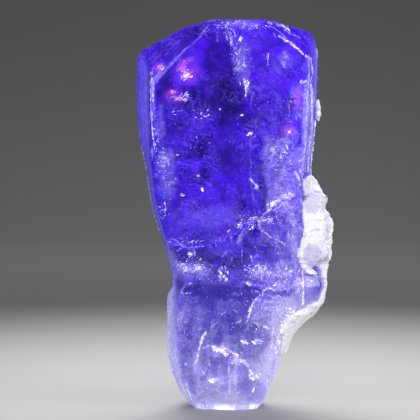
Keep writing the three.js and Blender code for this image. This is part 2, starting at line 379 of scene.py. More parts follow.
def cut_breaks(x, y, z, ux, uy):
    """How far inwards the points that lie in a hollow have to move to its far side, and how near each
    point is to a hollow's rim. A hollow's outline swells and shrinks a little, and low ripples run
    round its middle."""
    depth, rim = np.zeros_like(x), np.zeros_like(x)
    swelling = soft_noise(np.stack([x, y, z], -1), 1.1, 19)
    for (cx, cy, cz), (rx, ry, rz), turn in BREAKS:
        cos, sin = math.cos(math.radians(turn)), math.sin(math.radians(turn))
        dx, dy, dz = x - cx, y - cy, z - cz
        px, py, pz = (dx * cos - dz * sin) / rx, dy / ry, (dx * sin + dz * cos) / rz
        vx, vy, vz = -ux * cos / rx, -uy / ry, -ux * sin / rz
        swollen = 1 + np.where(y > 0, 0.42, 0.16) * swelling
        level = (px * px + pz * pz) * swollen + py * py - 1
        half = px * vx + py * vy + pz * vz
        speed = vx * vx + vy * vy + vz * vz
        root = half * half - speed * level
        travel = (-half + np.sqrt(np.maximum(root, 0))) / speed
        ripple = 0.012 * np.sin(np.hypot(px * rx, pz * rz) * 17 + 2 * px) * smooth_step(0, 0.35, travel)
        depth = np.where((level < 0) & (root > 0), np.maximum(depth, travel + ripple), depth)
        rim = np.maximum(rim, np.exp(-(level / 0.10) ** 2))
    return depth, rim


def lobe_planes():
    """The side lobe's faces as outward normals and distances from its middle: one for each side of each
    stretch of its profile."""
    normals, distances = [], []
    share = math.cos(math.pi / LOBE_SIDES)
    for (r0, z0), (r1, z1) in zip(LOBE_PROFILE[:-1], LOBE_PROFILE[1:]):
        run, rise = (r1 - r0) * share, z1 - z0
        size = math.hypot(run, rise)
        for side in range(LOBE_SIDES):
            phi = 2 * math.pi * (side + 0.5) / LOBE_SIDES
            flat = np.array([math.sin(phi), -math.cos(phi)]) * rise / size
            normals.append([flat[0], flat[1] / LOBE_STRETCH, -run / size])
            distances.append((r0 * share * rise - z0 * run) / size)
    normals += [[0, 0, -1], [0, 0, 1]]
    distances += [-LOBE_ENDS[0], LOBE_ENDS[1]]
    return np.array(normals), np.array(distances)


LOBE_NORMALS, LOBE_DISTANCES = lobe_planes()


def lobe_reach(ox, z, ux, uy):
    """How far out along (ux, uy) from (ox, 0) the side lobe's surface is, or 0 where it is missed."""
    out = np.full(np.broadcast(ux, z).shape, 99.0)
    into = -out
    for normal, distance in zip(LOBE_NORMALS, LOBE_DISTANCES):
        gap = distance - normal[0] * (ox - LOBE_AT[0]) + normal[1] * LOBE_AT[1] - normal[2] * (z - LOBE_AT[2])
        speed = normal[0] * ux + normal[1] * uy
        level = np.abs(speed) <= LEVEL_SPEED
        hit = gap / np.where(level, LEVEL_SPEED, speed)
        out = np.where(~level & (speed > 0), np.minimum(out, hit), out)
        into = np.where(~level & (speed < 0), np.maximum(into, hit), into)
        out = np.where(level & (gap < 0), -1, out)
    return np.where(out > np.maximum(into, 0), out, 0)


def crystal_sides(z):
    """The worked side surface at heights z (rows by columns): the plain section, less its striations,
    the step under the broken ledge and the conchoidal breaks, plus the side lobe; and how near each
    point is to a break's rim, and its striation."""
    x, y = section_point(z)
    step = np.hypot(np.diff(x, axis=1, append=x[:, :1]), np.diff(y, axis=1, append=y[:, :1]))
    perimeter = np.cumsum(step.mean(0))[None, :] + 0 * z
    ux, uy = outward_unit(x, y)
    here = np.stack([x, y, z], -1)

    lower = smooth_step(8.2, 6.6, z)
    groove = CORNERS[COLUMN_FACE, 3] + lower * 0.025
    stria = striations(perimeter, z, 11)
    dent = groove * between(COLUMN_SHARE, 0, 0.04, 0.96, 1) * stria
    worn = 0.035 * (1 - between(COLUMN_SHARE, 0, 0.03, 0.97, 1))
    dent += worn * (0.6 + 0.8 * rough_noise(here, 0.5, 31, 3))

    below = np.interp(x, LEDGE_X, LEDGE_Z) + 0.06 * soft_noise(here * [1, 0, 0], 0.35, 5) - z
    fall = (1 - np.clip(below / LEDGE_FALL, 0, 1)) ** 1.3
    under = smooth_step(0.0, 0.09, below) * fall * smooth_step(-1.6, -2.0, y)
    dent += LEDGE_DEPTH * under * (1 - 0.35 * rough_noise(here, 0.9, 17, 3))
    waist = np.exp(-((z - WAIST_Z) / 1.5) ** 2)
    dent += waist * 0.050 * np.clip(blocky_noise(here * [1, 1, 1.6], 0.62, 23), -1, 1)
    dent += 0.018 * rough_noise(here * [1, 1, 0.45], 1.3, 41, 3)
    dent += lower * 0.04 * rough_noise(here * [1, 1, 0.4], 0.8, 47, 3)
    dent *= 1 - 0.7 * smooth_step(0.5, 0.0, z)
    x1, y1 = x - ux * dent, y - uy * dent
    depth, rim = cut_breaks(x1, y1, z, ux, uy)

    middle = (x.max(1, keepdims=True) + x.min(1, keepdims=True)) / 2 + 0 * x
    dx, dy = x1 - ux * depth - middle, y1 - uy * depth
    radius = np.hypot(dx, dy)
    reach = lobe_reach(middle, z, dx / radius, dy / radius)
    pebble = 0.03 * rough_noise(here, 0.6, 71, 3)
    grown = np.where(reach > radius, reach + pebble, radius)
    return middle + dx / radius * grown, dy / radius * grown, rim, stria


def crystal_rows():
    """Heights of the side rows for each column. Rows crowd where the waist is broken."""
    t = np.linspace(0, 1, LOW_ROWS)
    crowd = t - 0.055 * np.sin(2 * np.pi * (t - 0.13))
    crowd = (crowd - crowd[0]) / (crowd[-1] - crowd[0])
    low = np.repeat((crowd * LEVEL_Z)[:, None], COLUMNS, axis=1)
    edge = np.full((1, COLUMNS), LENGTH - 1.0)
    for _ in range(4):
        x, y = section_point(edge)
        edge = top_height(x, y)
    t = (np.arange(1, HIGH_ROWS + 1) / HIGH_ROWS)[:, None]
    high = LEVEL_Z + (edge - LEVEL_Z) * t
    return np.concatenate([low, high])


def crystal_grid():
    """All points of the crystal: rings of the flat foot, side rows, rings of the top. Then the rim and
    striation values of the side rows."""
    z = crystal_rows()
    x, y, rim, stria = crystal_sides(z)

    share = (np.arange(1, FOOT_RINGS + 1) / (FOOT_RINGS + 1))[:, None]
    foot_x, foot_y = (v[0].mean() + (v[0] - v[0].mean()) * share for v in (x, y))

    t = (np.arange(1, TOP_RINGS + 1) / (TOP_RINGS + 1))[:, None]
    t = 1 - t * (0.75 + 0.25 * t)
    top_x, top_y = (centre + (v[-1] - centre) * t for centre, v in zip(TOP_CENTRE, (x, y)))
    flat = np.stack([top_x, top_y, 0 * top_x], -1)
    relief = top_steps(top_x, top_y) + 0.02 * rough_noise(flat, 0.9, 61, 4)
    top_z = top_height(top_x, top_y) + relief * smooth_step(1.0, 0.97, t)

    parts = (foot_x, x, top_x), (foot_y, y, top_y), (0 * foot_x, z, top_z)
    return np.stack([np.concatenate(part) for part in parts], -1), rim, stria


def crystal_piece(materials):
    grid, rim, stria = crystal_grid()
    foot = [grid[0, :, 0].mean(), grid[0, :, 1].mean(), 0.0]
    peak = [*TOP_CENTRE, top_height(*np.array(TOP_CENTRE)[:, None])[0]]
    quads, faces = capped_faces(*grid.shape[:2])
    masks = crystal_masks(grid, rim, stria)
    slots = np.zeros(len(faces), int)
    slots[:len(quads)] = masks["frost_and_sheen"].ravel()[quads].mean(1) > FROSTED_FROM
    points = np.concatenate([grid.reshape(-1, 3), [foot, peak]])
    piece = new_piece("tanzanite_crystal_fine", points, faces, materials, face_slots=slots)
    piece.data.set_sharp_from_angle(angle=math.radians(SHARP_EDGE))
    for name, values in masks.items():
        add_mask(piece, name, np.concatenate([values.ravel(), values[0, :1], values[-1, :1]]))
    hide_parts("tanzanite_crystal")
    return piece


# ---------------------------------------------------------------- where the crystal is deep, frosted, hazy
# Bruised and frosted lines on the front, and as the first line a painted highlight along the upper left
# bevel's edge: half width, strength, and the line's points as x, z, x, z ...
FROST_AND_SHEEN_LINES = [
    (0.06, 0.42, -4.6, 19.47, -4.25, 20.05, -3.72, 20.64, -3.13, 21.22, -2.55, 21.68, -1.85, 22.26, -1.5,
        22.55),
    (0.07, 0.8, -4.97, 20.05, -4.84, 19.35, -4.84, 18.42), (0.05, 0.5, -4.96, 18.06, -4.96, 17.36),
    (0.05, 0.8, 1.88, 22.96, 2.12, 22.85), (0.08, 1, 2.36, 22.85, 2.77, 22.74, 3.19, 22.45),
    (0.04, 0.8, 2.83, 22.5, 3.31, 22.27, 3.79, 22.04), (0.06, 0.55, 2.23, 22.26, 2.35, 21.97),
    (0.05, 0.8, 2.46, 22.15, 2.93, 21.98), (0.03, 0.65, 3.72, 21.92, 3.96, 21.75),
    (0.03, 0.5, 3.98, 22.16, 4.16, 22.05),
    (0.065, 1.05, 2.82, 21.92, 3.05, 21.86, 3.35, 21.63, 3.76, 21.28, 4.12, 20.99, 4.43, 20.81, 4.5, 20.4,
        4.58, 19.93, 4.44, 19.58, 4.24, 19.41),
    (0.07, 1, 3.88, 19.41, 4.18, 19.53),
    (0.06, 0.58, 4.24, 19.35, 4.12, 18.77, 4.13, 17.83, 4.07, 16.66, 4.02, 15.48, 3.96, 14.31),
    (0.08, 1.1, 4.44, 19.35, 4.52, 18.87, 4.53, 17.81, 4.55, 16.61, 4.36, 15.44, 4.32, 14.12),
    (0.03, 0.75, -0.57, 22.61, -0.57, 22.14, -0.45, 21.85),
    (0.04, 0.7, -0.34, 22.37, -0.28, 21.91, -0.28, 21.56), (0.06, 0.95, -0.11, 22.49, -0.05, 22.14),
    (0.06, 1, 0.3, 22.09, 0.3, 21.85), (0.05, 0.6, -0.22, 21.68, -0.11, 21.45),
    (0.02, 0.5, -1.09, 22.38, -1.09, 21.85), (0.04, 0.6, 0.53, 21.33, 0.71, 21.39),
    (0.05, 0.85, 0.42, 20.52, 0.54, 20.4), (0.06, 0.95, 0.48, 19.65, 0.54, 19.36, 0.59, 19.13),
    (0.05, 0.9, 0.65, 19.13, 0.59, 18.66), (0.035, 0.75, 1.82, 20.99, 1.88, 20.46),
    (0.03, 0.8, 2.7, 20.64, 2.82, 20.4), (0.035, 0.95, 0.83, 13.83, 1.3, 13.35),
    (0.05, 1, 1.13, 13.29, 1.31, 13.23), (0.03, 1, 3.49, 14.2, 3.79, 13.72),
    (0.03, 1, 3.78, 14.31, 3.96, 13.72), (0.03, 0.8, 3.79, 13.49, 4.03, 13.01),
    (0.09, 1.05, 1.54, 11.65, 1.9, 11.88, 2.07, 12.11, 2.31, 12.46, 2.66, 12.57),
    (0.05, 1, 1.37, 11.3, 1.66, 11.35, 2.02, 11.29),
    (0.04, 0.8, 0.72, 11.3, 1.19, 11.36, 1.54, 11.53, 1.9, 11.47), (0.05, 0.9, -0.45, 10.7, -0.33, 10.82),
    (0.04, 0.9, -0.33, 10.23, -0.09, 10.53), (0.03, 0.6, -0.91, 10.16, -0.56, 10.16),
    (0.03, 0.5, 0.37, 10.71, 0.38, 8.92),
    (0.04, 0.75, 1.31, 10.87, 1.79, 10.62, 2.14, 10.33, 2.61, 10.14, 3.15, 9.78),
    (0.04, 0.9, 3.32, 11.13, 3.62, 10.89, 3.86, 10.89),
    (0.06, 0.6, -3.74, 10.29, -3.38, 10.06, -3.03, 9.83, -2.85, 9.77),
    (0.035, 0.75, -3.51, 9.53, -3.03, 9.71, -2.38, 9.78, -1.62, 9.85), (0.08, 1.1, -2.74, 9.33, -2.56, 9.28),
    (0.06, 0.7, -2.44, 9.59, -2.38, 9.23), (0.05, 1, -0.62, 8.66, -0.56, 8.43),
    (0.1, 1.2, -0.91, 8.36, -0.73, 8.06, -0.56, 7.83), (0.05, 0.85, 0.9, 9.3, 0.97, 8.92),
    (0.1, 1.15, 0.68, 7.67, 0.85, 7.62), (0.04, 0.6, 0.26, 7.78, 0.68, 7.67, 1.32, 7.56, 1.8, 7.28),
    (0.09, 1.1, 1.69, 7.15, 1.97, 7.36, 2.27, 7.24),
    (0.03, 0.6, 2.39, 7.24, 2.81, 7.22, 3.34, 7.33, 3.57, 7.58), (0.04, 0.85, 2.39, 6.94, 2.98, 6.69),
    (0.08, 1.1, 3.98, 8.52, 3.99, 7.5, 4, 6.35), (0.05, 0.85, 3.64, 7.98, 3.81, 8.52),
    (0.05, 0.8, 3.4, 7.57, 3.63, 7.8), (0.06, 0.75, 3.57, 7.28, 3.57, 6.98),
    (0.04, 0.5, 3.75, 7.57, 3.82, 6.6), (0.04, 0.6, 3.22, 6.62, 3.28, 6.08),
    (0.04, 0.9, 1.81, 7.15, 1.57, 6.97, 1.2, 6.74),
    (0.075, 1.15, 1.2, 6.74, 1.03, 6.51, 0.85, 6.09, 0.79, 5.74, 0.68, 5.44),
    (0.03, 0.8, 0.03, 5.31, 0.38, 5.5), (0.03, 0.75, -0.09, 6.07, 0.15, 5.9),
    (0.04, 0.5, -0.85, 5.76, -0.62, 5.94), (0.03, 0.6, -1.44, 4.99, -1.09, 5.29),
    (0.035, 1.1, 1.09, 5.37, 1.39, 5.06), (0.035, 1, 1.63, 5.1, 2.04, 4.91),
    (0.05, 0.85, 2.22, 5.75, 2.22, 4.84, 2.17, 3.94, 2.05, 3.52),
    (0.09, 1.15, -1.74, 4.8, -1.91, 4.5, -2.03, 4.08),
    (0.05, 1, -2.03, 4.08, -2.15, 3.66, -2.21, 3.24, -2.39, 2.8),
    (0.05, 0.75, -1.91, 3.78, -1.62, 3.91, -1.32, 3.92),
    (0.13, 1.2, -1.32, 3.86, -0.97, 3.69, -0.73, 3.51, -0.56, 3.39),
    (0.1, 0.95, -0.79, 3.87, -0.32, 3.64, -0.03, 3.35, 0.15, 2.99),
    (0.05, 0.75, -0.32, 3.2, -0.38, 2.71, -0.38, 2, -0.32, 1.16),
    (0.06, 0.75, -0.02, 3.1, -0.02, 2.13, 0.04, 1.17),
    (0.07, 0.95, 0.15, 3.11, 0.51, 2.98, 0.8, 2.67, 0.92, 2.23), (0.07, 1, 0.38, 4.26, 0.74, 4.06),
    (0.05, 1, -1.97, 2.39, -1.74, 2.09, -1.5, 1.86), (0.12, 1.2, -1.56, 1.86, -1.38, 1.74, -1.2, 1.87),
    (0.03, 0.6, -2.45, 2.92, -2.33, 2.32), (0.05, 0.6, -2.21, 2.32, -2.15, 1.47),
    (0.05, 0.9, -2.92, 1.63, -2.81, 1.2, -2.63, 0.63), (0.08, 0.7, -2.27, 1.21, -2.04, 0.58, -1.74, 0.07),
    (0.05, 0.8, -0.14, 1.42, 0.1, 1.17), (0.04, 0.6, 0.87, 0.93, 1.24, 0.52),
    (0.05, 0.85, 2, 2.42, 1.95, 1.48, 1.99, 0.83), (0.05, 0.8, -4.02, 6.4, -4.02, 4.57, -3.97, 2.76),
    (0.05, 0.6, -3.77, 6.46, -3.64, 4.72, -3.58, 3.85), (0.04, 0.7, -3.27, 7.12, -3.04, 6.96, -2.68, 7.03),
    (0.05, -1, 0.14, 11.47, 0.84, 11.54, 1.54, 11.65, 2.25, 11.69), (0.04, -1, 1.09, 5.25, 1.39, 4.87),
    (0.04, -0.8, 1.81, 7.09, 1.57, 7.09), (0.05, -0.6, 1.48, 13.87, 1.66, 13.17, 1.72, 12.23),
    (0.025, 0.75, 1.63, 6.86, 2.04, 6.69, 2.45, 6.82),
    (0.02, 0.7, 1.56, 6.49, 1.92, 6.64, 2.27, 6.41, 2.69, 6.52),
    (0.02, 0.7, 2.04, 5.57, 2.39, 5.87, 2.81, 5.92), (0.02, 0.65, 1.8, 6.13, 2.15, 6.29, 2.45, 6.05),
    (0.02, 0.7, 2.86, 6.87, 2.69, 6.4, 2.39, 5.99, 2.16, 5.45),
    (0.02, 0.6, 3.1, 7.34, 2.98, 6.63, 2.69, 5.92), (0.02, 0.6, 1.32, 5.96, 1.68, 5.71, 2.16, 5.09),
    (0.2, 0.85, 3.4, 6.14, 2.99, 5.55, 2.7, 4.7, 2.47, 3.74), (0.12, 0.7, 2.53, 3.92, 2.29, 2.9, 2.15, 1.67),
]
# Cloudy patches on the front: x, z, half width, half height, strength.
FROST_PATCHES = [
    (0.01, 22.93, 0.75, 0.14, 0.65), (0.48, 22.84, 0.18, 0.22, 1), (1.18, 22.73, 0.1, 0.13, 0.8),
    (-0.8, 22.96, 0.12, 0.1, 0.9), (0.24, 20.75, 0.45, 1.15, 0.45), (0.59, 19.36, 0.13, 0.36, 0.8),
    (2.88, 20.99, 0.22, 0.3, 0.6), (-4.2, 14.96, 0.35, 0.25, 0.55), (-4.73, 16.42, 0.15, 0.16, 0.9),
    (-4.28, 11.86, 0.3, 0.3, 0.5), (-3.67, 13.67, 0.3, 0.25, 0.4), (2.18, 15.45, 0.3, 0.3, 0.8),
    (3.02, 12.8, 0.42, 0.22, 0.95), (2.37, 12.4, 0.4, 0.25, 0.6), (0.55, 11.07, 0.5, 0.35, 0.8),
    (-0.39, 10.76, 0.15, 0.12, 0.9), (-4.17, 11.06, 0.14, 0.1, 0.8), (-3.09, 9.95, 0.25, 0.25, 0.55),
    (-3.1, 8.54, 0.5, 0.28, 0.85), (-2.21, 8.56, 0.42, 0.26, 0.85), (-2.68, 9.33, 0.12, 0.12, 1.2),
    (-3.4, 8.81, 0.3, 0.2, 0.5), (-1.79, 8.04, 0.6, 0.3, 0.45), (1.55, 8.33, 0.75, 0.42, 0.65),
    (2.92, 8.3, 0.5, 0.55, 0.7), (0.73, 7.61, 0.16, 0.11, 1.2), (3.69, 7.57, 0.2, 0.6, 0.6),
    (1.92, 6.06, 0.6, 0.5, 0.45), (2.93, 6.04, 0.4, 0.7, 0.5), (-0.97, 3.69, 0.4, 0.18, 0.9),
    (-0.56, 3.45, 0.18, 0.15, 1.2), (-0.08, 3.22, 0.26, 0.45, 0.9), (0.33, 2.93, 0.35, 0.2, 0.75),
    (1.16, 2.09, 0.42, 0.3, 0.95), (1.27, 4.16, 0.32, 0.18, 0.85), (0.56, 4.19, 0.22, 0.13, 1),
    (-1.38, 1.8, 0.18, 0.14, 1.2), (-1.86, 0.46, 0.22, 0.4, 0.6), (-2.87, 1.32, 0.1, 0.3, 0.8),
    (-0.2, 2.12, 0.22, 0.9, 0.45), (-3.72, 2.96, 0.1, 0.1, 1), (-2.92, 2.79, 0.09, 0.1, 1),
    (-2.92, 5.31, 0.14, 0.07, 0.8), (-2.5, 7.61, 0.3, 0.08, 0.8),
]
HAZE_PATCHES = [
    (3.2, 12.8, 1.4, 1.5, 1), (3.5, 11.1, 0.8, 1.6, 0.85), (-4.4, 16.8, 0.3, 1.3, 0.6),
    (-4.1, 14.8, 0.6, 0.8, 0.75), (-4, 13.4, 0.5, 1, 0.6), (-1.2, 11.6, 2.6, 0.7, 0.35),
    (0.4, 20.7, 0.5, 1.5, 0.5), (4.3, 17.1, 0.4, 3.8, 0.95), (3.4, 7.9, 0.9, 1.2, 0.9),
    (2.5, 5.3, 1, 2.4, 0.95), (2.9, 20.7, 0.5, 0.5, 0.4), (-2.6, 8.3, 1.3, 0.6, 0.6),
    (-3.7, 4.7, 0.7, 2.8, 0.7),
]
VIVID_PATCHES = [
    (2.6, 20.7, 1.9, 2.3, 1), (3.8, 18.1, 0.8, 1.6, 0.9), (1.6, 17, 1.4, 1.2, 0.45),
    (-2.9, 20.8, 1, 0.9, 0.75), (-4.5, 20.4, 0.6, 0.7, 0.7), (-3.5, 16.4, 1, 1, 0.45),
    (-1.5, 12.3, 2.2, 1.3, 0.55),
]
DEEP_PATCHES = [
    (-0.5, 18.7, 1.1, 2.3, 1), (-2.4, 18.1, 1.2, 0.6, 0.85), (-2, 15.1, 0.7, 1.4, 0.95),
    (-3.2, 17.1, 0.7, 0.5, 0.6), (0.9, 17.2, 0.9, 0.6, 0.85), (-1, 20.8, 0.9, 1.3, 0.6),
    (-4, 19, 0.5, 0.8, 0.7), (-2.2, 22.3, 1.4, 0.4, 0.85), (-4.2, 21.3, 0.9, 0.5, 0.75),
    (-3.5, 9.4, 0.5, 0.4, 0.8), (0.2, 7.2, 1.6, 0.5, 0.95), (-1.9, 7.4, 0.8, 0.3, 0.9),
    (2.8, 7.1, 0.5, 0.2, 1), (3.9, 9.7, 0.2, 0.5, 0.8), (-1.5, 5.8, 0.7, 1.3, 0.5), (0.1, 4.8, 1, 1, 0.52),
    (-1.1, 2.8, 0.9, 0.9, 0.5), (-2.7, 4.9, 0.3, 1.2, 0.55), (1.3, 3.7, 0.7, 0.5, 0.45),
    (0.9, 1.7, 0.6, 0.5, 0.4), (-3, 2.5, 0.3, 0.9, 0.45),
]
# Painted pink glints, for light reflected inside the stone: x, z, half width, half height, strength.
GLINT_PATCHES = [
    (-4.37, 20.4, 0.2, 0.22, 0.95), (-4.55, 20.17, 0.45, 0.5, 0.42), (-2.84, 19.82, 0.26, 0.2, 1),
    (-3.02, 20.29, 0.4, 0.55, 0.8), (-2.78, 20.05, 0.85, 0.85, 0.44), (-2.67, 20.75, 0.4, 0.25, 0.6),
    (-3.66, 18.89, 0.28, 0.16, 1), (-3.31, 18.48, 0.5, 0.12, 0.9), (-3.61, 18.65, 0.7, 0.5, 0.42),
    (3.71, 18.53, 0.4, 0.85, 0.4), (3.18, 16.61, 0.18, 0.16, 0.85), (3.06, 16.67, 0.5, 0.4, 0.42),
    (3.12, 18.07, 0.07, 0.4, 0.8),
]
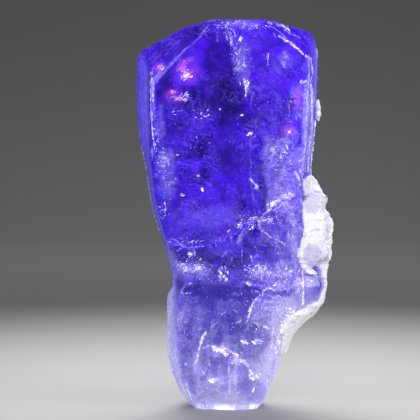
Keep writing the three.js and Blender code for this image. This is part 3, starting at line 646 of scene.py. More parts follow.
# Places with an edge on the front, by the mask that they add to: strength, how soft the edge is in
# millimetres, and the outline's points as x, z, x, z ...
ZONES = {
    "deep": [
        (0.55, 0.22, -1.7, 21.3, -0.5, 21.6, -0.1, 20.8, 0.1, 19.9, 0.4, 18.9, 0.4, 18.2, 0.4, 17.1, -0.5,
            17, -1.3, 17.5, -2.1, 17.8, -2.7, 18.5, -2.3, 19, -1.7, 19.2, -1.8, 20.2),
        (0.95, 0.22, -2.3, 19, -1.4, 18.7, -0.6, 18.5, 0.4, 18.6, 0.4, 17.7, 0.2, 17.3, -0.6, 17.4, -1.3,
            17.7, -2.2, 18.1, -2.9, 18.6, -3.1, 19.2),
        (0.8, 0.18, -1.6, 20.8, -1.2, 20.6, -1.2, 20.1, -1.5, 19.9, -1.7, 20.3),
        (0.85, 0.12, -4.7, 18.9, -4.3, 19.6, -3.9, 20, -3.8, 19.6, -4.1, 19, -4.3, 18.6, -4.7, 18.5),
        (0.6, 0.3, -5.2, 21.4, -3.7, 22.1, -2.1, 22.7, -1.3, 22.9, -1.7, 22.4, -2.7, 21.8, -3.7, 21.1, -4.6,
            20.6, -5.2, 20.8),
        (0.8, 0.15, 3.1, 18.5, 3.4, 18.4, 3.5, 18.1, 3.4, 17.7, 3.1, 17.8),
        (0.95, 0.2, -2.1, 15.6, -1.8, 15.6, -1.6, 15.2, -1.5, 14.6, -1.7, 13.9, -2, 13.7, -2.1, 14.6),
        (0.55, 0.25, -3.7, 15.5, -2.9, 15.6, -2.1, 16.3, -1.7, 15.7, -1.5, 14.6, -1.8, 13.5, -2.7, 13.4,
            -3.4, 14.1, -3.7, 14.9),
        (0.5, 0.25, -1, 15.7, 0.2, 15.5, 0.5, 14.7, 0.2, 14.2, -0.7, 14.2, -1.1, 14.9),
        (0.5, 0.18, -1, 16.5, -0.2, 16.6, -0.3, 16.1, -0.9, 16),
        (0.6, 0.18, 0, 12.7, 0.4, 12.9, 0.5, 12.2, 0.4, 11.7, 0, 11.8, -0.3, 12),
        (0.8, 0.05, 1.48, 13.99, 1.66, 13.87, 1.78, 13.05, 1.84, 12.23, 1.54, 12.12, 1.48, 12.88, 1.36,
            13.52),
        (0.6, 0.18, 1.3, 14.9, 1.8, 15, 1.8, 14.3, 1.4, 14.3),
        (0.65, 0.12, 0.1, 11.5, 1.5, 11.8, 2.2, 11.8, 1.8, 11.3, 1, 11.2, 0.3, 11.1),
        (0.45, 0.2, 0.61, 11.07, 1.54, 11.06, 2.44, 10.79, 3.09, 10.2, 2.97, 9.37, 2.02, 9.15, 0.73, 9.34,
            0.32, 9.98),
        # Painted shadow: the dark band in the recess under the broken ledge.
        (0.8, 0.14, -3.4, 9.4, -2.1, 9.7, -1.3, 9.5, -0.6, 9.2, 0.6, 9.2, 0.7, 8.7, 0, 8.5, -0.8, 8.7, -1.7,
            8.9, -2.6, 8.8, -3.3, 8.9),
        (0.8, 0.14, -3.3, 7.5, -2.7, 7.4, -1.2, 7.6, 0.3, 7.5, 1.3, 7.4, 1.9, 7.2, 1.6, 6.8, 0.8, 6.6, -0.8,
            6.6, -1.8, 6.6, -2.6, 6.8, -3.2, 7.2),
        (1, 0.06, 2.27, 7.18, 2.86, 7.1, 3.34, 7.27, 3.22, 6.86, 2.63, 6.76, 2.27, 6.94),
        (0.4, 0.14, -2.9, 6.8, -1.2, 6.8, 1, 6.7, 1, 6.3, 0.7, 5.5, 1.2, 5, 2.1, 4.8, 1.9, 4, 1.2, 3.2, 0.3,
            3.6, -0.7, 4.2, -1.9, 4.1, -2.3, 3.5, -2.7, 3.9, -2.8, 5.4),
        (0.5, 0.18, -1.6, 6.5, 0.9, 6.6, 0.7, 5.4, 0.3, 4.5, -0.6, 4.5, -1.4, 5.1),
        (0.3, 0.12, -1.9, 3.4, -1.1, 3.5, -0.6, 3.1, -0.4, 2.5, -0.8, 2.1, -1.4, 2, -1.8, 2.6),
        (0.4, 0.2, 0.3, 2.8, 0.7, 2.6, 1, 1.9, 1.7, 1.8, 1.9, 0.8, 1, 0.6, 0.4, 1.1, 0.1, 2),
        (0.5, 0.15, -3.5, 4.8, -2.9, 4.8, -2.6, 3.5, -2.5, 2.1, -2.2, 0.8, -2.8, 1.1, -3.2, 2.4),
        (0.35, 0.2, 4.7, 8.4, 5.4, 8.3, 5.5, 7.4, 4.9, 6.7, 4.4, 6.6, 4.5, 7.5),
        (0.3, 0.1, 1.5, 11.5, 2.4, 12, 3.2, 12.3, 3.9, 11.7, 3.9, 11.2, 3, 11.2, 2, 11.1),
    ],
    "vivid": [
        (0.9, 0.3, -3.7, 21.2, -2.8, 21.6, -1.9, 21.2, -2.1, 20.5, -2.2, 19.4, -3.4, 19.1, -4, 19.6, -4.1,
            20.4),
        (1, 0.3, 1.5, 21, 2.9, 21.3, 3.8, 21, 4.2, 20.3, 4.2, 19.6, 3.9, 19, 3.2, 18.9, 2.3, 18.9, 1.5, 19.6),
        (0.6, 0.25, 0.5, 22.5, 1.5, 22.5, 2.4, 21.9, 3.2, 21.6, 2.7, 20.8, 1.5, 20.2, 0.9, 20.8, 0.7, 21.7),
        (0.75, 0.3, -1.5, 15.5, -1, 14.3, 0.6, 13.9, 0.5, 12.8, -0.2, 12.3, -1.2, 12.6, -2.1, 12.7, -2.7,
            13.2, -1.8, 13.5),
        (0.7, 0.2, -2.9, 15.6, -2.2, 15.5, -2.2, 14.2, -2.7, 13.7, -2.9, 14.6),
        (0.6, 0.3, -4.2, 12.2, -2.1, 12.2, -0.6, 11.8, 0.1, 11.3, -0.6, 10.6, -1.8, 10.2, -3.3, 10.3, -4,
            11.1),
        (0.85, 0.2, 1.9, 17.1, 3.6, 17.2, 3.8, 16.3, 3.3, 15.7, 2.4, 15.7, 2, 16.3),
        (0.6, 0.2, -1.5, 10, 0.1, 10.2, 0.5, 9.6, 0, 9.3, -1, 9.5),
    ],
    "haze": [
        (0.55, 0.15, 3.3, 19.1, 3.9, 19.4, 4, 17.8, 4, 17.2, 3.6, 17.4, 3.4, 18.2),
        (1, 0.14, 1.83, 14.16, 2.36, 14.39, 3.13, 14.14, 3.9, 14.43, 3.99, 11.69, 3.21, 11.95, 2.72, 11.74,
            2.25, 12.1, 1.78, 11.76, 1.89, 12.81),
        (1, 0.3, 1.54, 15.04, 1.89, 16.09, 2.36, 15.74, 2.77, 16.44, 3.42, 16.78, 3.84, 16.43, 3.96, 14.43,
            3.19, 14.2, 2.36, 14.45, 1.77, 14.22),
        (0.4, 0.4, -4.6, 15.5, -3.9, 15.4, -3.7, 14.7, -3.5, 13.7, -3.7, 13, -4.5, 13.1, -4.6, 14.3),
        (0.75, 0.15, 1.09, 8.45, 1.55, 9.03, 2.03, 8.68, 2.61, 9.14, 3.33, 8.89, 3.86, 9.11, 3.81, 8.16, 3.1,
            7.57, 2.51, 7.23, 1.79, 7.73, 1.2, 8.1),
        (0.9, 0.12, 1.3, 6.8, 1.9, 7.1, 3.1, 6.8, 3.2, 5.7, 2.2, 5.3, 1.3, 5.5, 1, 6),
        (0.55, 0.1, -0.8, 23, 0.8, 23.1, 1.5, 22.8, 0.8, 22.6, -0.5, 22.6),
        (0.55, 0.15, 4, 8.6, 4.6, 8.5, 4.5, 6.6, 4, 6.5),
        (0.95, 0.15, 3.1, 11.7, 3.9, 11.7, 4, 9.9, 3.8, 8.9, 3.2, 9.1, 2.9, 10.2),
        (0.5, 0.25, 1.5, 11.3, 2.9, 11.6, 3, 10.2, 2.4, 9.3, 1.6, 9.9),
        (0.95, 0.12, 2.97, 11.72, 3.99, 11.75, 3.98, 8.88, 3.45, 8.88, 3.09, 10.2, 2.85, 11.02),
        (0.6, 0.2, 1.91, 10.68, 2.62, 11.02, 3.21, 10.66, 3.56, 9.83, 3.33, 9.13, 2.62, 9.38, 2.02, 9.98),
    ],
    "busy": [
        (1, 0.3, 1.3, 18.7, 3.8, 18.6, 4.1, 17.2, 4, 16, 2.9, 15.6, 1.5, 16.1, 1.2, 17.3),
        (0.8, 0.3, -5, 18.4, -2.1, 18.4, -1.4, 17.7, -1.3, 16.8, -2.3, 16.6, -4.4, 16.8, -4.9, 17.5),
        (1, 0.3, -4.2, 11.2, -2.7, 11.6, -1.1, 11.8, 0.2, 11.5, 1, 11.1, 0, 10.2, -1.6, 9.8, -3.3, 10.1, -4,
            10.6),
        (0.6, 0.3, -2.9, 12.6, -0.5, 12.6, 0, 11.8, -1.7, 11.8, -3, 12),
        (0.9, 0.3, 1.5, 12.3, 4, 12.5, 4, 10.7, 3.1, 10, 1.6, 10.7, 0.8, 11.1),
        (1, 0.2, -3.5, 8.8, -1.3, 8.8, 1.6, 8.8, 3.8, 8.9, 3.7, 7.6, 1.9, 7.4, -1.3, 7.6, -3.4, 7.4),
        (0.9, 0.2, 1, 6.7, 2.1, 7.1, 3.2, 6.6, 3.2, 4.8, 2.2, 3.5, 1.1, 4, 0.7, 5.4),
        (0.8, 0.2, -0.5, 22.6, 0.5, 22.6, 0.8, 21.3, 0.8, 19, 0.4, 18.7, 0, 20.2, -0.3, 21.6),
        (0.7, 0.3, -4.8, 17.2, -3.7, 15.8, -3.4, 13.4, -3.9, 11.1, -4.5, 11.6, -4.9, 14.9),
        (0.6, 0.3, -3.5, 7.1, -2.3, 7.2, -2.5, 4.8, -2.2, 2.5, -2.7, 1.1, -3.4, 3, -3.8, 5.3),
        (0.6, 0.3, -2.2, 4, 0, 3.7, 1.6, 3.2, 1.8, 1, 0, 0.4, -1.9, 0.3, -2.7, 2.3),
        (0.45, 0.4, -1.4, 16.3, 0.8, 16.7, 1.5, 15.5, 1.2, 14.1, -0.3, 14, -1.3, 14.9),
        (0.75, 0.2, 1.5, 16.6, 4.1, 15.9, 4.1, 12.2, 2.8, 12.6, 1.9, 12.2, 1.8, 14.2, 1.4, 14.9),
        (0.9, 0.1, 4, 8.9, 5.7, 8.7, 5.7, 7, 4.9, 6.3, 4.1, 6.2),
        (0.42, 0.3, 0.9, 21.3, 3.8, 21.7, 4.4, 20.8, 4.4, 18.4, 3.2, 17.7, 0.9, 17.7, 0.6, 19.6),
    ],
    "pale": [
        (0.72, 0.05, 4, 19.29, 4.3, 19.35, 4.32, 17.82, 4.28, 16.05, 4.18, 14.15, 3.9, 14.08, 3.89, 16.66,
            3.95, 18.42),
        (0.85, 0.04, 4.44, 19.35, 4.66, 18.98, 4.69, 16.6, 4.52, 14.1, 4.32, 14, 4.4, 17.22),
        (0.35, 0.08, -5.02, 19.58, -4.72, 19.59, -4.72, 17.25, -4.9, 17.13),
        (0.4, 0.12, 3.26, 11.6, 3.99, 11.69, 3.98, 10.65, 3.68, 10.18, 3.81, 8.87, 3.33, 8.89, 3.2, 10.2),
        (0.24, 0.15, 1.09, 8.45, 1.79, 9.03, 2.38, 8.79, 3.21, 9.24, 3.86, 8.88, 3.58, 8.04, 2.86, 7.34,
            2.03, 7.72, 1.32, 7.62, 0.62, 8.09),
        (0.16, 0.15, -3.52, 8.77, -1.74, 8.82, -1.74, 8.16, -3.28, 7.83),
    ],
    "tint": [
        (0.85, 0.06, 4.03, 9.72, 4.33, 9.95, 4.89, 9.73, 5.08, 9.4, 5.02, 8.81, 4.86, 8.25, 4.44, 8.38, 4.04,
            8.88),
        (0.45, 0.1, 4.1, 12.2, 4.5, 12.3, 5.2, 12.1, 5.1, 11.8, 4.5, 11.9, 4.1, 11.7),
        (0.35, 0.1, 4.1, 13.8, 4.5, 13.6, 4.9, 13.1, 5.2, 12.4, 4.7, 12.6, 4.2, 12.9),
    ],
}
SOFT_ZONE = 0.1               # from this softness on, a zone's edge is ragged in proportion to it
# The line down the front to the left of which the deep patches lie.
RIDGE_Z, RIDGE_X = [17.37, 18.55, 21.45, 22.61], [3.0, 0.59, 0.13, 0.01]
# How bruised each corner of the section is at heights z.
BRUISE_Z = [0.0, 3.0, 7.0, 10.0, 14.5, 16.0, 18.0, 20.0, 23.0]
BRUISES = [
    [0.05, 0.05, 0.04, 0.04, 0.06, 0.10, 0.10, 0.10, 0.06],
    [0.50, 0.40, 0.40, 0.40, 0.45, 0.50, 0.62, 0.85, 0.60],
    [0.40, 0.32, 0.32, 0.40, 0.95, 1.00, 0.85, 0.75, 0.50],
    [0.25, 0.20, 0.20, 0.25, 0.40, 0.50, 0.50, 0.50, 0.30],
    [0.30, 0.24, 0.24, 0.30, 0.48, 0.60, 0.60, 0.60, 0.36],
    [0.15, 0.10, 0.08, 0.08, 0.11, 0.13, 0.21, 0.24, 0.12],
    [0.36, 0.24, 0.15, 0.15, 0.24, 0.30, 0.51, 0.57, 0.30],
    [0.35, 0.45, 0.25, 0.80, 0.95, 0.55, 0.20, 0.22, 0.12],
    [0.57, 0.38, 0.24, 0.12, 0.14, 0.45, 0.80, 0.90, 0.30],
]


def as_points(numbers):
    return np.reshape(numbers, (-1, 2))


def patch_mask(x, z, patches, ragged):
    """Soft spots in x and z, with edges made ragged by a noise; the strongest counts."""
    total = np.zeros(x.shape)
    for cx, cz, half_x, half_z, strength in patches:
        gap = np.hypot((x - cx) / half_x, (z - cz) / half_z) + 0.35 * ragged
        total = np.maximum(total, strength * smooth_step(1.25, 0.25, gap))
    return total


def zone_mask(x, z, wanted, ragged):
    """The zones of one mask: inside an outline, with a soft and ragged edge; the strongest counts."""
    total = np.zeros(x.shape)
    for strength, soft, *outline in ZONES[wanted]:
        wobble = 1.1 * soft if soft >= SOFT_ZONE else 0.03
        depth = inside_outline(x, z, as_points(outline)) + wobble * ragged
        total = np.maximum(total, strength * smooth_step(-soft, soft, depth))
    return total


def corner_bruise(z):
    """For each grid point, how near it is to a corner times how bruised that corner is there, from 0 to 1."""
    _, left, right, front, back = STATIONS[-1]
    corners = CORNERS[:, :2] * [right - left, back - front]
    width = np.linalg.norm(np.roll(corners, -1, axis=0) - corners, axis=1)[COLUMN_FACE]
    start, end = (smooth_step(0.12, 0.04, share * width) for share in (COLUMN_SHARE, 1 - COLUMN_SHARE))
    bruise = np.zeros(z.shape)
    for corner, strengths in enumerate(BRUISES):
        near = np.where(COLUMN_FACE == corner, start, 0)
        near = np.maximum(near, np.where((COLUMN_FACE + 1) % len(CORNERS) == corner, end, 0))
        bruise = np.maximum(bruise, near * np.interp(z, BRUISE_Z, strengths))
    return bruise


def crystal_masks(grid, rim, stria):
    """frost: bruised, white, and along the upper left bevel's edge a painted highlight; haze: cloudy lilac;
    vivid: bright violet; deep: indigo, and under the broken ledge a painted shadow; glint: painted pink
    glints of light reflected inside; pale: washed out towards the foot; calm: streaked, not mottled;
    busy: finely mottled; each from 0 to 1."""
    x, y, z = np.moveaxis(grid, -1, 0)
    ragged = rough_noise(grid, 0.55, 201, 4)
    fine = rough_noise(grid, 0.16, 207, 3)
    front = smooth_step(-0.9, -1.7, y)
    sides = slice(FOOT_RINGS, FOOT_RINGS + len(rim))
    side_z, worn = z[sides], 0.6 + 0.6 * ragged[sides]
    zones = {name: zone_mask(x, z, name, ragged) for name in ("deep", "vivid", "haze", "busy", "pale")}
    haze, vivid, deep = (patch_mask(x, z, p, ragged) for p in (HAZE_PATCHES, VIVID_PATCHES, DEEP_PATCHES))
    # Painted pink glints of light reflected inside the stone, on the front only.
    glint = patch_mask(x, z, GLINT_PATCHES, 0.6 * ragged) * front * (0.85 + 0.5 * fine)

    def lift(mask, values, rows=slice(None)):
        mask[rows] = np.maximum(mask[rows], values)

    frost_and_sheen = np.zeros(x.shape)
    beads = 0.62 + 0.45 * ragged + 0.55 * fine
    # Bruised and frosted lines; the first is a painted highlight along the upper left bevel's edge.
    for half, strength, *line in FROST_AND_SHEEN_LINES:
        gap = line_distance(x, z, as_points(line)) / (max(1.2 * half, 0.065) * (1 + 0.5 * fine))
        lift(frost_and_sheen, 0.90 * strength * np.exp(-gap ** 2) * beads * front)
    lift(frost_and_sheen, patch_mask(x, z, FROST_PATCHES, ragged) * front * (0.50 + 0.9 * fine))
    lift(frost_and_sheen, (corner_bruise(z) * (0.50 + 0.7 * ragged + 0.7 * fine))[sides], sides)
    lift(frost_and_sheen, 0.50 * rim * (1 - zones["deep"][sides]) * worn, sides)
    crest = smooth_step(0.62, 0.85, stria) * np.isin(COLUMN_FACE, RIGHT_FACES)
    lift(frost_and_sheen, 0.75 * crest * worn, sides)

    haze *= np.clip(0.85 + 0.35 * ragged + 0.3 * fine, 0, 1.3)
    striped = (COLUMN_FACE == RIGHT_NARROW) * smooth_step(8.5, 11.0, side_z) \
        + 0.4 * (COLUMN_FACE == LEFT_NARROW) * smooth_step(14.0, 17.5, side_z)
    lift(haze, striped * (0.95 * stria - 0.05), sides)
    lift(haze, zones["haze"] * front * np.clip(0.8 + 0.7 * fine + 0.5 * ragged, 0.3, 1.2))

    calm = smooth_step(0.05, 0.35, z - 19.47 - 0.99 * (x + 4.60)) * smooth_step(-1.0, -1.4, x) * front
    stirred = 0.22 + 0.70 * smooth_step(-0.1, 0.5, rough_noise(grid, 1.4, 211, 3)) * (1 - 0.85 * front)
    busy = np.maximum(stirred, zones["busy"] * front) * (1 - calm)

    deep *= smooth_step(0.12, -0.10, x - np.interp(z, RIDGE_Z, RIDGE_X)) * (0.35 + 0.65 * front)
    # Indigo zones; under the broken ledge this is painted shadow.
    lift(deep, zones["deep"] * front)
    narrow = np.isin(COLUMN_FACE, (LEFT_NARROW - 1, LEFT_NARROW)) * smooth_step(7.0, 9.0, side_z)
    lift(deep, narrow * (0.74 - 0.62 * stria), sides)
    lift(vivid, zones["vivid"])
    lift(vivid, 0.40 * narrow, sides)

    pale = smooth_step(-3.35, -3.95, x) * smooth_step(8.2, 6.2, z + 0.9 * ragged)
    lift(pale, smooth_step(3.6, -0.5, z) * (0.80 + 0.4 * ragged))
    lift(pale, smooth_step(8.0, 5.6, z + 0.4 * ragged) * smooth_step(-0.7, 0.9, x - 0.30 * z - 0.3))
    lift(pale, narrow * (COLUMN_FACE == LEFT_NARROW) * (0.24 * stria), sides)
    pale = np.maximum(pale * (1 - 0.75 * deep), zones["pale"] * (0.7 + 0.5 * fine))
    masks = {"frost_and_sheen": frost_and_sheen, "haze": haze, "calm": calm, "busy": busy, "vivid": vivid, "deep": deep,
             "glint": glint, "pale": pale}
    return {name: np.clip(values, 0, 1) for name, values in masks.items()}


# ---------------------------------------------------------------- flecks
# Groups of flecks on the front: x, z, half width, half height, how many, their half length and half
# width in millimetres, their lean from upright in degrees with its spread, and their brightness.
FLECK_GROUPS = [
    (-2.81, 19.98, 0.32, 0.3, 14, 0.085, 0.05, 60, 60, 1),
    (-3.11, 18.57, 0.45, 0.22, 10, 0.15, 0.045, 60, 12, 0.9),
    (-3.5, 17.74, 0.3, 0.2, 6, 0.17, 0.022, 60, 15, 0.95),
    (-2.08, 17.55, 0.6, 0.4, 20, 0.055, 0.03, 45, 60, 0.85),
    (-4.33, 20.32, 0.22, 0.25, 8, 0.07, 0.04, 20, 60, 0.8),
    (-0.24, 22.2, 0.3, 0.7, 26, 0.11, 0.02, 4, 6, 0.55),
    (0.05, 21.04, 0.45, 0.8, 46, 0.055, 0.03, 5, 30, 0.6),
    (0.63, 19.3, 0.13, 0.42, 26, 0.06, 0.036, 0, 10, 0.9), (0.3, 21.96, 0.08, 0.1, 3, 0.12, 0.05, 10, 20, 1),
    (1.88, 20.85, 0.04, 0.12, 2, 0.2, 0.028, 2, 3, 0.75),
    (2.88, 20.66, 0.25, 0.4, 14, 0.11, 0.028, 30, 15, 0.6),
    (0.36, 17.54, 0.08, 0.06, 5, 0.077, 0.05, 60, 30, 1),
    (3.91, 19.49, 0.12, 0.1, 9, 0.084, 0.039, 60, 30, 1),
    (2.2, 17.74, 1.3, 1.1, 34, 0.07, 0.022, 50, 50, 0.5),
    (3.38, 17.54, 0.4, 0.7, 18, 0.08, 0.026, 60, 40, 0.55),
    (-1.21, 16.97, 3, 1.6, 70, 0.05, 0.02, 45, 90, 0.42),
    (-4.87, 19.29, 0.1, 1.1, 26, 0.07, 0.03, 3, 15, 0.85),
    (-4.68, 16.56, 0.14, 1.6, 36, 0.055, 0.032, 8, 40, 0.85),
    (-4.24, 14.7, 0.35, 0.9, 50, 0.05, 0.028, 30, 60, 0.75),
    (-4.05, 13.14, 0.3, 1.1, 34, 0.05, 0.026, 30, 60, 0.7),
    (-0.62, 14.05, 3.9, 2.2, 120, 0.05, 0.02, 60, 60, 0.45),
    (2.89, 14.81, 1.2, 1.9, 130, 0.055, 0.022, 60, 50, 0.66),
    (2.84, 15.11, 0.3, 0.3, 16, 0.07, 0.036, 45, 60, 0.95),
    (-3.16, 12.85, 0.1, 0.1, 4, 0.08, 0.04, 60, 30, 1), (-3.4, 15.2, 0.1, 0.1, 4, 0.08, 0.04, 60, 30, 0.9),
    (0.88, 16.49, 0.12, 0.1, 4, 0.11, 0.055, 60, 30, 1), (0.93, 16.2, 2, 0.7, 26, 0.1, 0.018, 75, 25, 0.5),
    (2.8, 12.37, 0.8, 0.5, 60, 0.08, 0.034, 45, 40, 0.75),
    (1.33, 11.52, 1.3, 0.4, 60, 0.085, 0.03, 65, 30, 0.72),
    (-1.5, 11.79, 2.4, 1.2, 70, 0.05, 0.022, 75, 50, 0.48),
    (-2.97, 10.14, 1.1, 0.18, 30, 0.08, 0.026, 75, 30, 0.75),
    (2.32, 9.92, 1.3, 0.9, 60, 0.08, 0.02, 70, 30, 0.6),
    (-2.58, 8.73, 0.85, 0.5, 70, 0.06, 0.032, 60, 60, 0.8),
    (-0.68, 8.17, 0.3, 0.42, 30, 0.085, 0.034, 25, 30, 0.95),
    (1.44, 8.36, 1.1, 0.55, 60, 0.065, 0.03, 60, 60, 0.7),
    (3.12, 8.51, 0.5, 0.6, 36, 0.065, 0.03, 30, 60, 0.75),
    (-1.01, 5.56, 2.4, 2.2, 90, 0.06, 0.02, 8, 40, 0.55),
    (1.25, 5.78, 1.6, 1.6, 80, 0.06, 0.022, 30, 60, 0.7),
    (-3.47, 4.32, 0.5, 2.9, 60, 0.07, 0.022, 0, 30, 0.75),
    (-0.61, 2.76, 1.3, 1.3, 60, 0.06, 0.026, 20, 60, 0.75),
    (1.16, 3.58, 1.1, 1.4, 60, 0.065, 0.026, 15, 50, 0.8),
    (-0.61, 1.07, 1.8, 0.6, 50, 0.06, 0.026, 10, 50, 0.8),
    (0.44, 22.7, 1.8, 0.2, 80, 0.05, 0.024, 80, 20, 0.85),
    (3.3, 18.07, 0.12, 0.4, 16, 0.15, 0.045, 75, 8, -1),
    (2.71, 17.25, 1.2, 1.2, 60, 0.075, 0.02, 50, 60, -0.7),
    (0.25, 14.93, 0.9, 0.9, 24, 0.06, 0.02, 40, 60, -0.5),
    (-0.32, 8.43, 3, 0.5, 60, 0.06, 0.024, 60, 60, -0.8),
    (-3.55, 17.72, 1.3, 0.7, 44, 0.06, 0.022, 50, 50, -0.7),
    (1.74, 5.46, 0.8, 1.3, 44, 0.065, 0.022, 40, 60, -0.7),
    (-1.21, 10.81, 2, 0.8, 50, 0.06, 0.018, 70, 40, -0.6),
    (2.91, 11.08, 1.1, 0.8, 30, 0.07, 0.018, 65, 30, -0.6),
    (-1.8, 5.92, 0.9, 1, 14, 0.07, 0.02, 30, 50, -0.5), (-1.2, 2.88, 0.6, 0.6, 16, 0.06, 0.022, 40, 60, -0.6),
    (-4.14, 14.31, 0.4, 2, 24, 0.06, 0.02, 20, 50, -0.5),
    (0.71, 16.39, 0.06, 0.04, 5, 0.07, 0.039, 70, 30, 1.1),
    (0.95, 16.51, 0.03, 0.03, 1, 0.08, 0.05, 0, 20, 0.9),
    (-2.09, 13.98, 0.15, 0.03, 4, 0.085, 0.05, 80, 15, 1.1),
    (-1.97, 13.22, 0.04, 0.08, 3, 0.06, 0.04, 20, 30, 0.9),
    (-0.92, 17.9, 0.05, 0.04, 3, 0.07, 0.05, 0, 30, 1.1),
    (-1.56, 15.92, 0.09, 0.03, 3, 0.1, 0.03, 65, 8, 0.95),
    (-2.61, 15.62, 0.05, 0.04, 3, 0.049, 0.033, 0, 30, 0.8),
    (-2.26, 16.26, 0.02, 0.02, 2, 0.08, 0.05, 0, 40, 0.8),
    (-1.62, 17.84, 0.03, 0.08, 3, 0.06, 0.04, 20, 50, 1),
    (-2.68, 9.33, 0.1, 0.06, 11, 0.07, 0.044, 60, 30, 1.2),
    (0.73, 7.61, 0.12, 0.04, 11, 0.084, 0.044, 80, 30, 1.2),
    (-3.72, 2.96, 0.05, 0.04, 5, 0.07, 0.044, 30, 30, 1.1),
    (-2.92, 2.79, 0.05, 0.04, 5, 0.056, 0.033, 10, 30, 1.1),
    (4.42, 7.42, 0.25, 0.55, 26, 0.065, 0.034, 20, 50, 0.95),
    (4.91, 7.62, 0.3, 0.7, 16, 0.05, 0.024, 20, 60, 0.7),
    (-4.2, 14.9, 0.36, 0.5, 44, 0.06, 0.026, 40, 60, 0.85),
    (-4.28, 11.8, 0.4, 0.4, 30, 0.055, 0.024, 40, 60, 0.8),
    (2.91, 11.61, 0.9, 0.5, 60, 0.09, 0.016, 68, 16, 0.75),
    (2.84, 13.27, 1, 0.8, 70, 0.06, 0.018, 60, 40, 0.7), (2.89, 15.03, 1, 0.8, 70, 0.065, 0.02, 60, 40, 0.75),
    (3.08, 12.79, 0.35, 0.18, 26, 0.08, 0.05, 50, 40, 1.1),
    (2.37, 12.4, 0.4, 0.2, 30, 0.085, 0.05, 52, 25, 1.1),
    (0.55, 11.01, 0.55, 0.35, 60, 0.06, 0.034, 40, 60, 1.05),
    (1.54, 11.53, 1, 0.14, 50, 0.075, 0.026, 74, 22, 0.95),
    (-3.04, 8.55, 0.5, 0.26, 46, 0.07, 0.04, 60, 50, 1.05),
    (-2.21, 8.56, 0.42, 0.24, 40, 0.075, 0.042, 60, 50, 1.05),
    (1.26, 8.56, 0.6, 0.26, 40, 0.08, 0.028, 70, 30, 0.95),
    (1.55, 8.16, 0.7, 0.36, 46, 0.07, 0.036, 60, 50, 1),
    (2.92, 8.3, 0.45, 0.5, 50, 0.075, 0.034, 40, 50, 0.95),
    (-1.62, 8.05, 0.9, 0.4, 50, 0.055, 0.024, 60, 50, 0.75),
    (-0.91, 3.69, 0.42, 0.16, 50, 0.075, 0.05, 60, 25, 1.1),
    (-0.5, 3.45, 0.14, 0.12, 14, 0.09, 0.07, 40, 40, 1.2),
    (-0.08, 3.15, 0.24, 0.4, 36, 0.075, 0.044, 20, 40, 1),
    (0.27, 3, 0.4, 0.18, 26, 0.07, 0.036, 60, 40, 0.95),
    (1.16, 2.09, 0.4, 0.26, 46, 0.08, 0.048, 50, 50, 1.05),
    (1.27, 4.16, 0.34, 0.18, 26, 0.075, 0.04, 60, 40, 1),
    (-1.38, 1.8, 0.16, 0.12, 16, 0.095, 0.06, 50, 40, 1.2),
    (-1.74, 0.47, 0.22, 0.38, 24, 0.08, 0.036, 10, 30, 0.85),
    (1.92, 6.18, 0.6, 0.45, 50, 0.07, 0.026, 30, 60, 0.85),
    (2.87, 5.92, 0.4, 0.7, 50, 0.07, 0.026, 10, 40, 0.9),
    (3.69, 7.51, 0.2, 0.5, 36, 0.075, 0.036, 15, 30, 0.95),
    (2.59, 19.82, 1.6, 1.7, 90, 0.045, 0.018, 70, 50, 0.42),
    (1.53, 20.75, 0.8, 1, 30, 0.045, 0.018, 70, 50, 0.45),
    (-2.96, 19.82, 0.2, 0.12, 14, 0.06, 0.034, 60, 60, 1.15),
    (-2.9, 20.17, 0.3, 0.3, 16, 0.05, 0.026, 40, 60, 0.75),
    (-3.66, 18.89, 0.12, 0.1, 8, 0.06, 0.03, 60, 60, 1),
    (-3.31, 18.48, 0.25, 0.08, 8, 0.09, 0.028, 60, 14, 1),
    (-4.43, 20.34, 0.14, 0.12, 8, 0.06, 0.03, 30, 60, 1),
    (3.01, 16.61, 0.2, 0.12, 10, 0.06, 0.024, 50, 60, 1),
    (0.01, 20.75, 0.25, 0.9, 40, 0.05, 0.022, 5, 20, 0.75),
    (-0.28, 22.14, 0.2, 0.4, 20, 0.08, 0.02, 2, 8, 0.85),
    (0.48, 20.4, 0.18, 0.3, 14, 0.05, 0.028, 10, 30, 0.9),
    (0.24, 20.64, 0.42, 1.3, 90, 0.04, 0.017, 5, 25, 0.72),
    (0.83, 20.17, 0.3, 0.9, 30, 0.04, 0.017, 5, 40, 0.55),
    (-0.57, 22.49, 0.25, 0.3, 20, 0.05, 0.018, 3, 8, 0.8),
    (-3.19, 20.4, 0.35, 0.55, 30, 0.05, 0.026, 40, 60, 0.85),
    (-2.96, 19.76, 0.3, 0.18, 24, 0.055, 0.03, 50, 60, 1.1),
    (-3.49, 18.65, 0.4, 0.25, 24, 0.06, 0.024, 60, 20, 0.9),
    (-4.37, 20.29, 0.25, 0.22, 18, 0.05, 0.026, 30, 60, 0.9),
    (3.71, 18.42, 0.25, 0.6, 24, 0.05, 0.022, 20, 60, 0.75),
    (2.37, 12.34, 0.55, 0.16, 60, 0.05, 0.03, 52, 40, 1),
    (3.19, 12.85, 0.4, 0.2, 50, 0.045, 0.028, 50, 60, 1),
    (2.84, 12.09, 0.9, 0.35, 60, 0.045, 0.02, 60, 40, 0.8),
    (1.54, 11.3, 0.9, 0.22, 60, 0.05, 0.022, 70, 30, 0.9),
    (-1.5, 9.47, 1.9, 0.45, 26, 0.04, 0.018, 70, 50, 0.5),
    (2.75, 7.52, 0.6, 0.22, 40, 0.055, 0.022, 60, 30, 1),
    (0.97, 8.56, 0.5, 0.25, 40, 0.045, 0.026, 40, 60, 1.1),
    (2.27, 6.35, 0.8, 0.8, 46, 0.07, 0.013, 70, 50, 0.75),
    (2.96, 13.15, 0.8, 1.5, 50, 0.09, 0.01, 82, 14, 0.75),
    (3.24, 18.07, 0.1, 0.38, 14, 0.13, 0.03, 70, 25, -0.6),
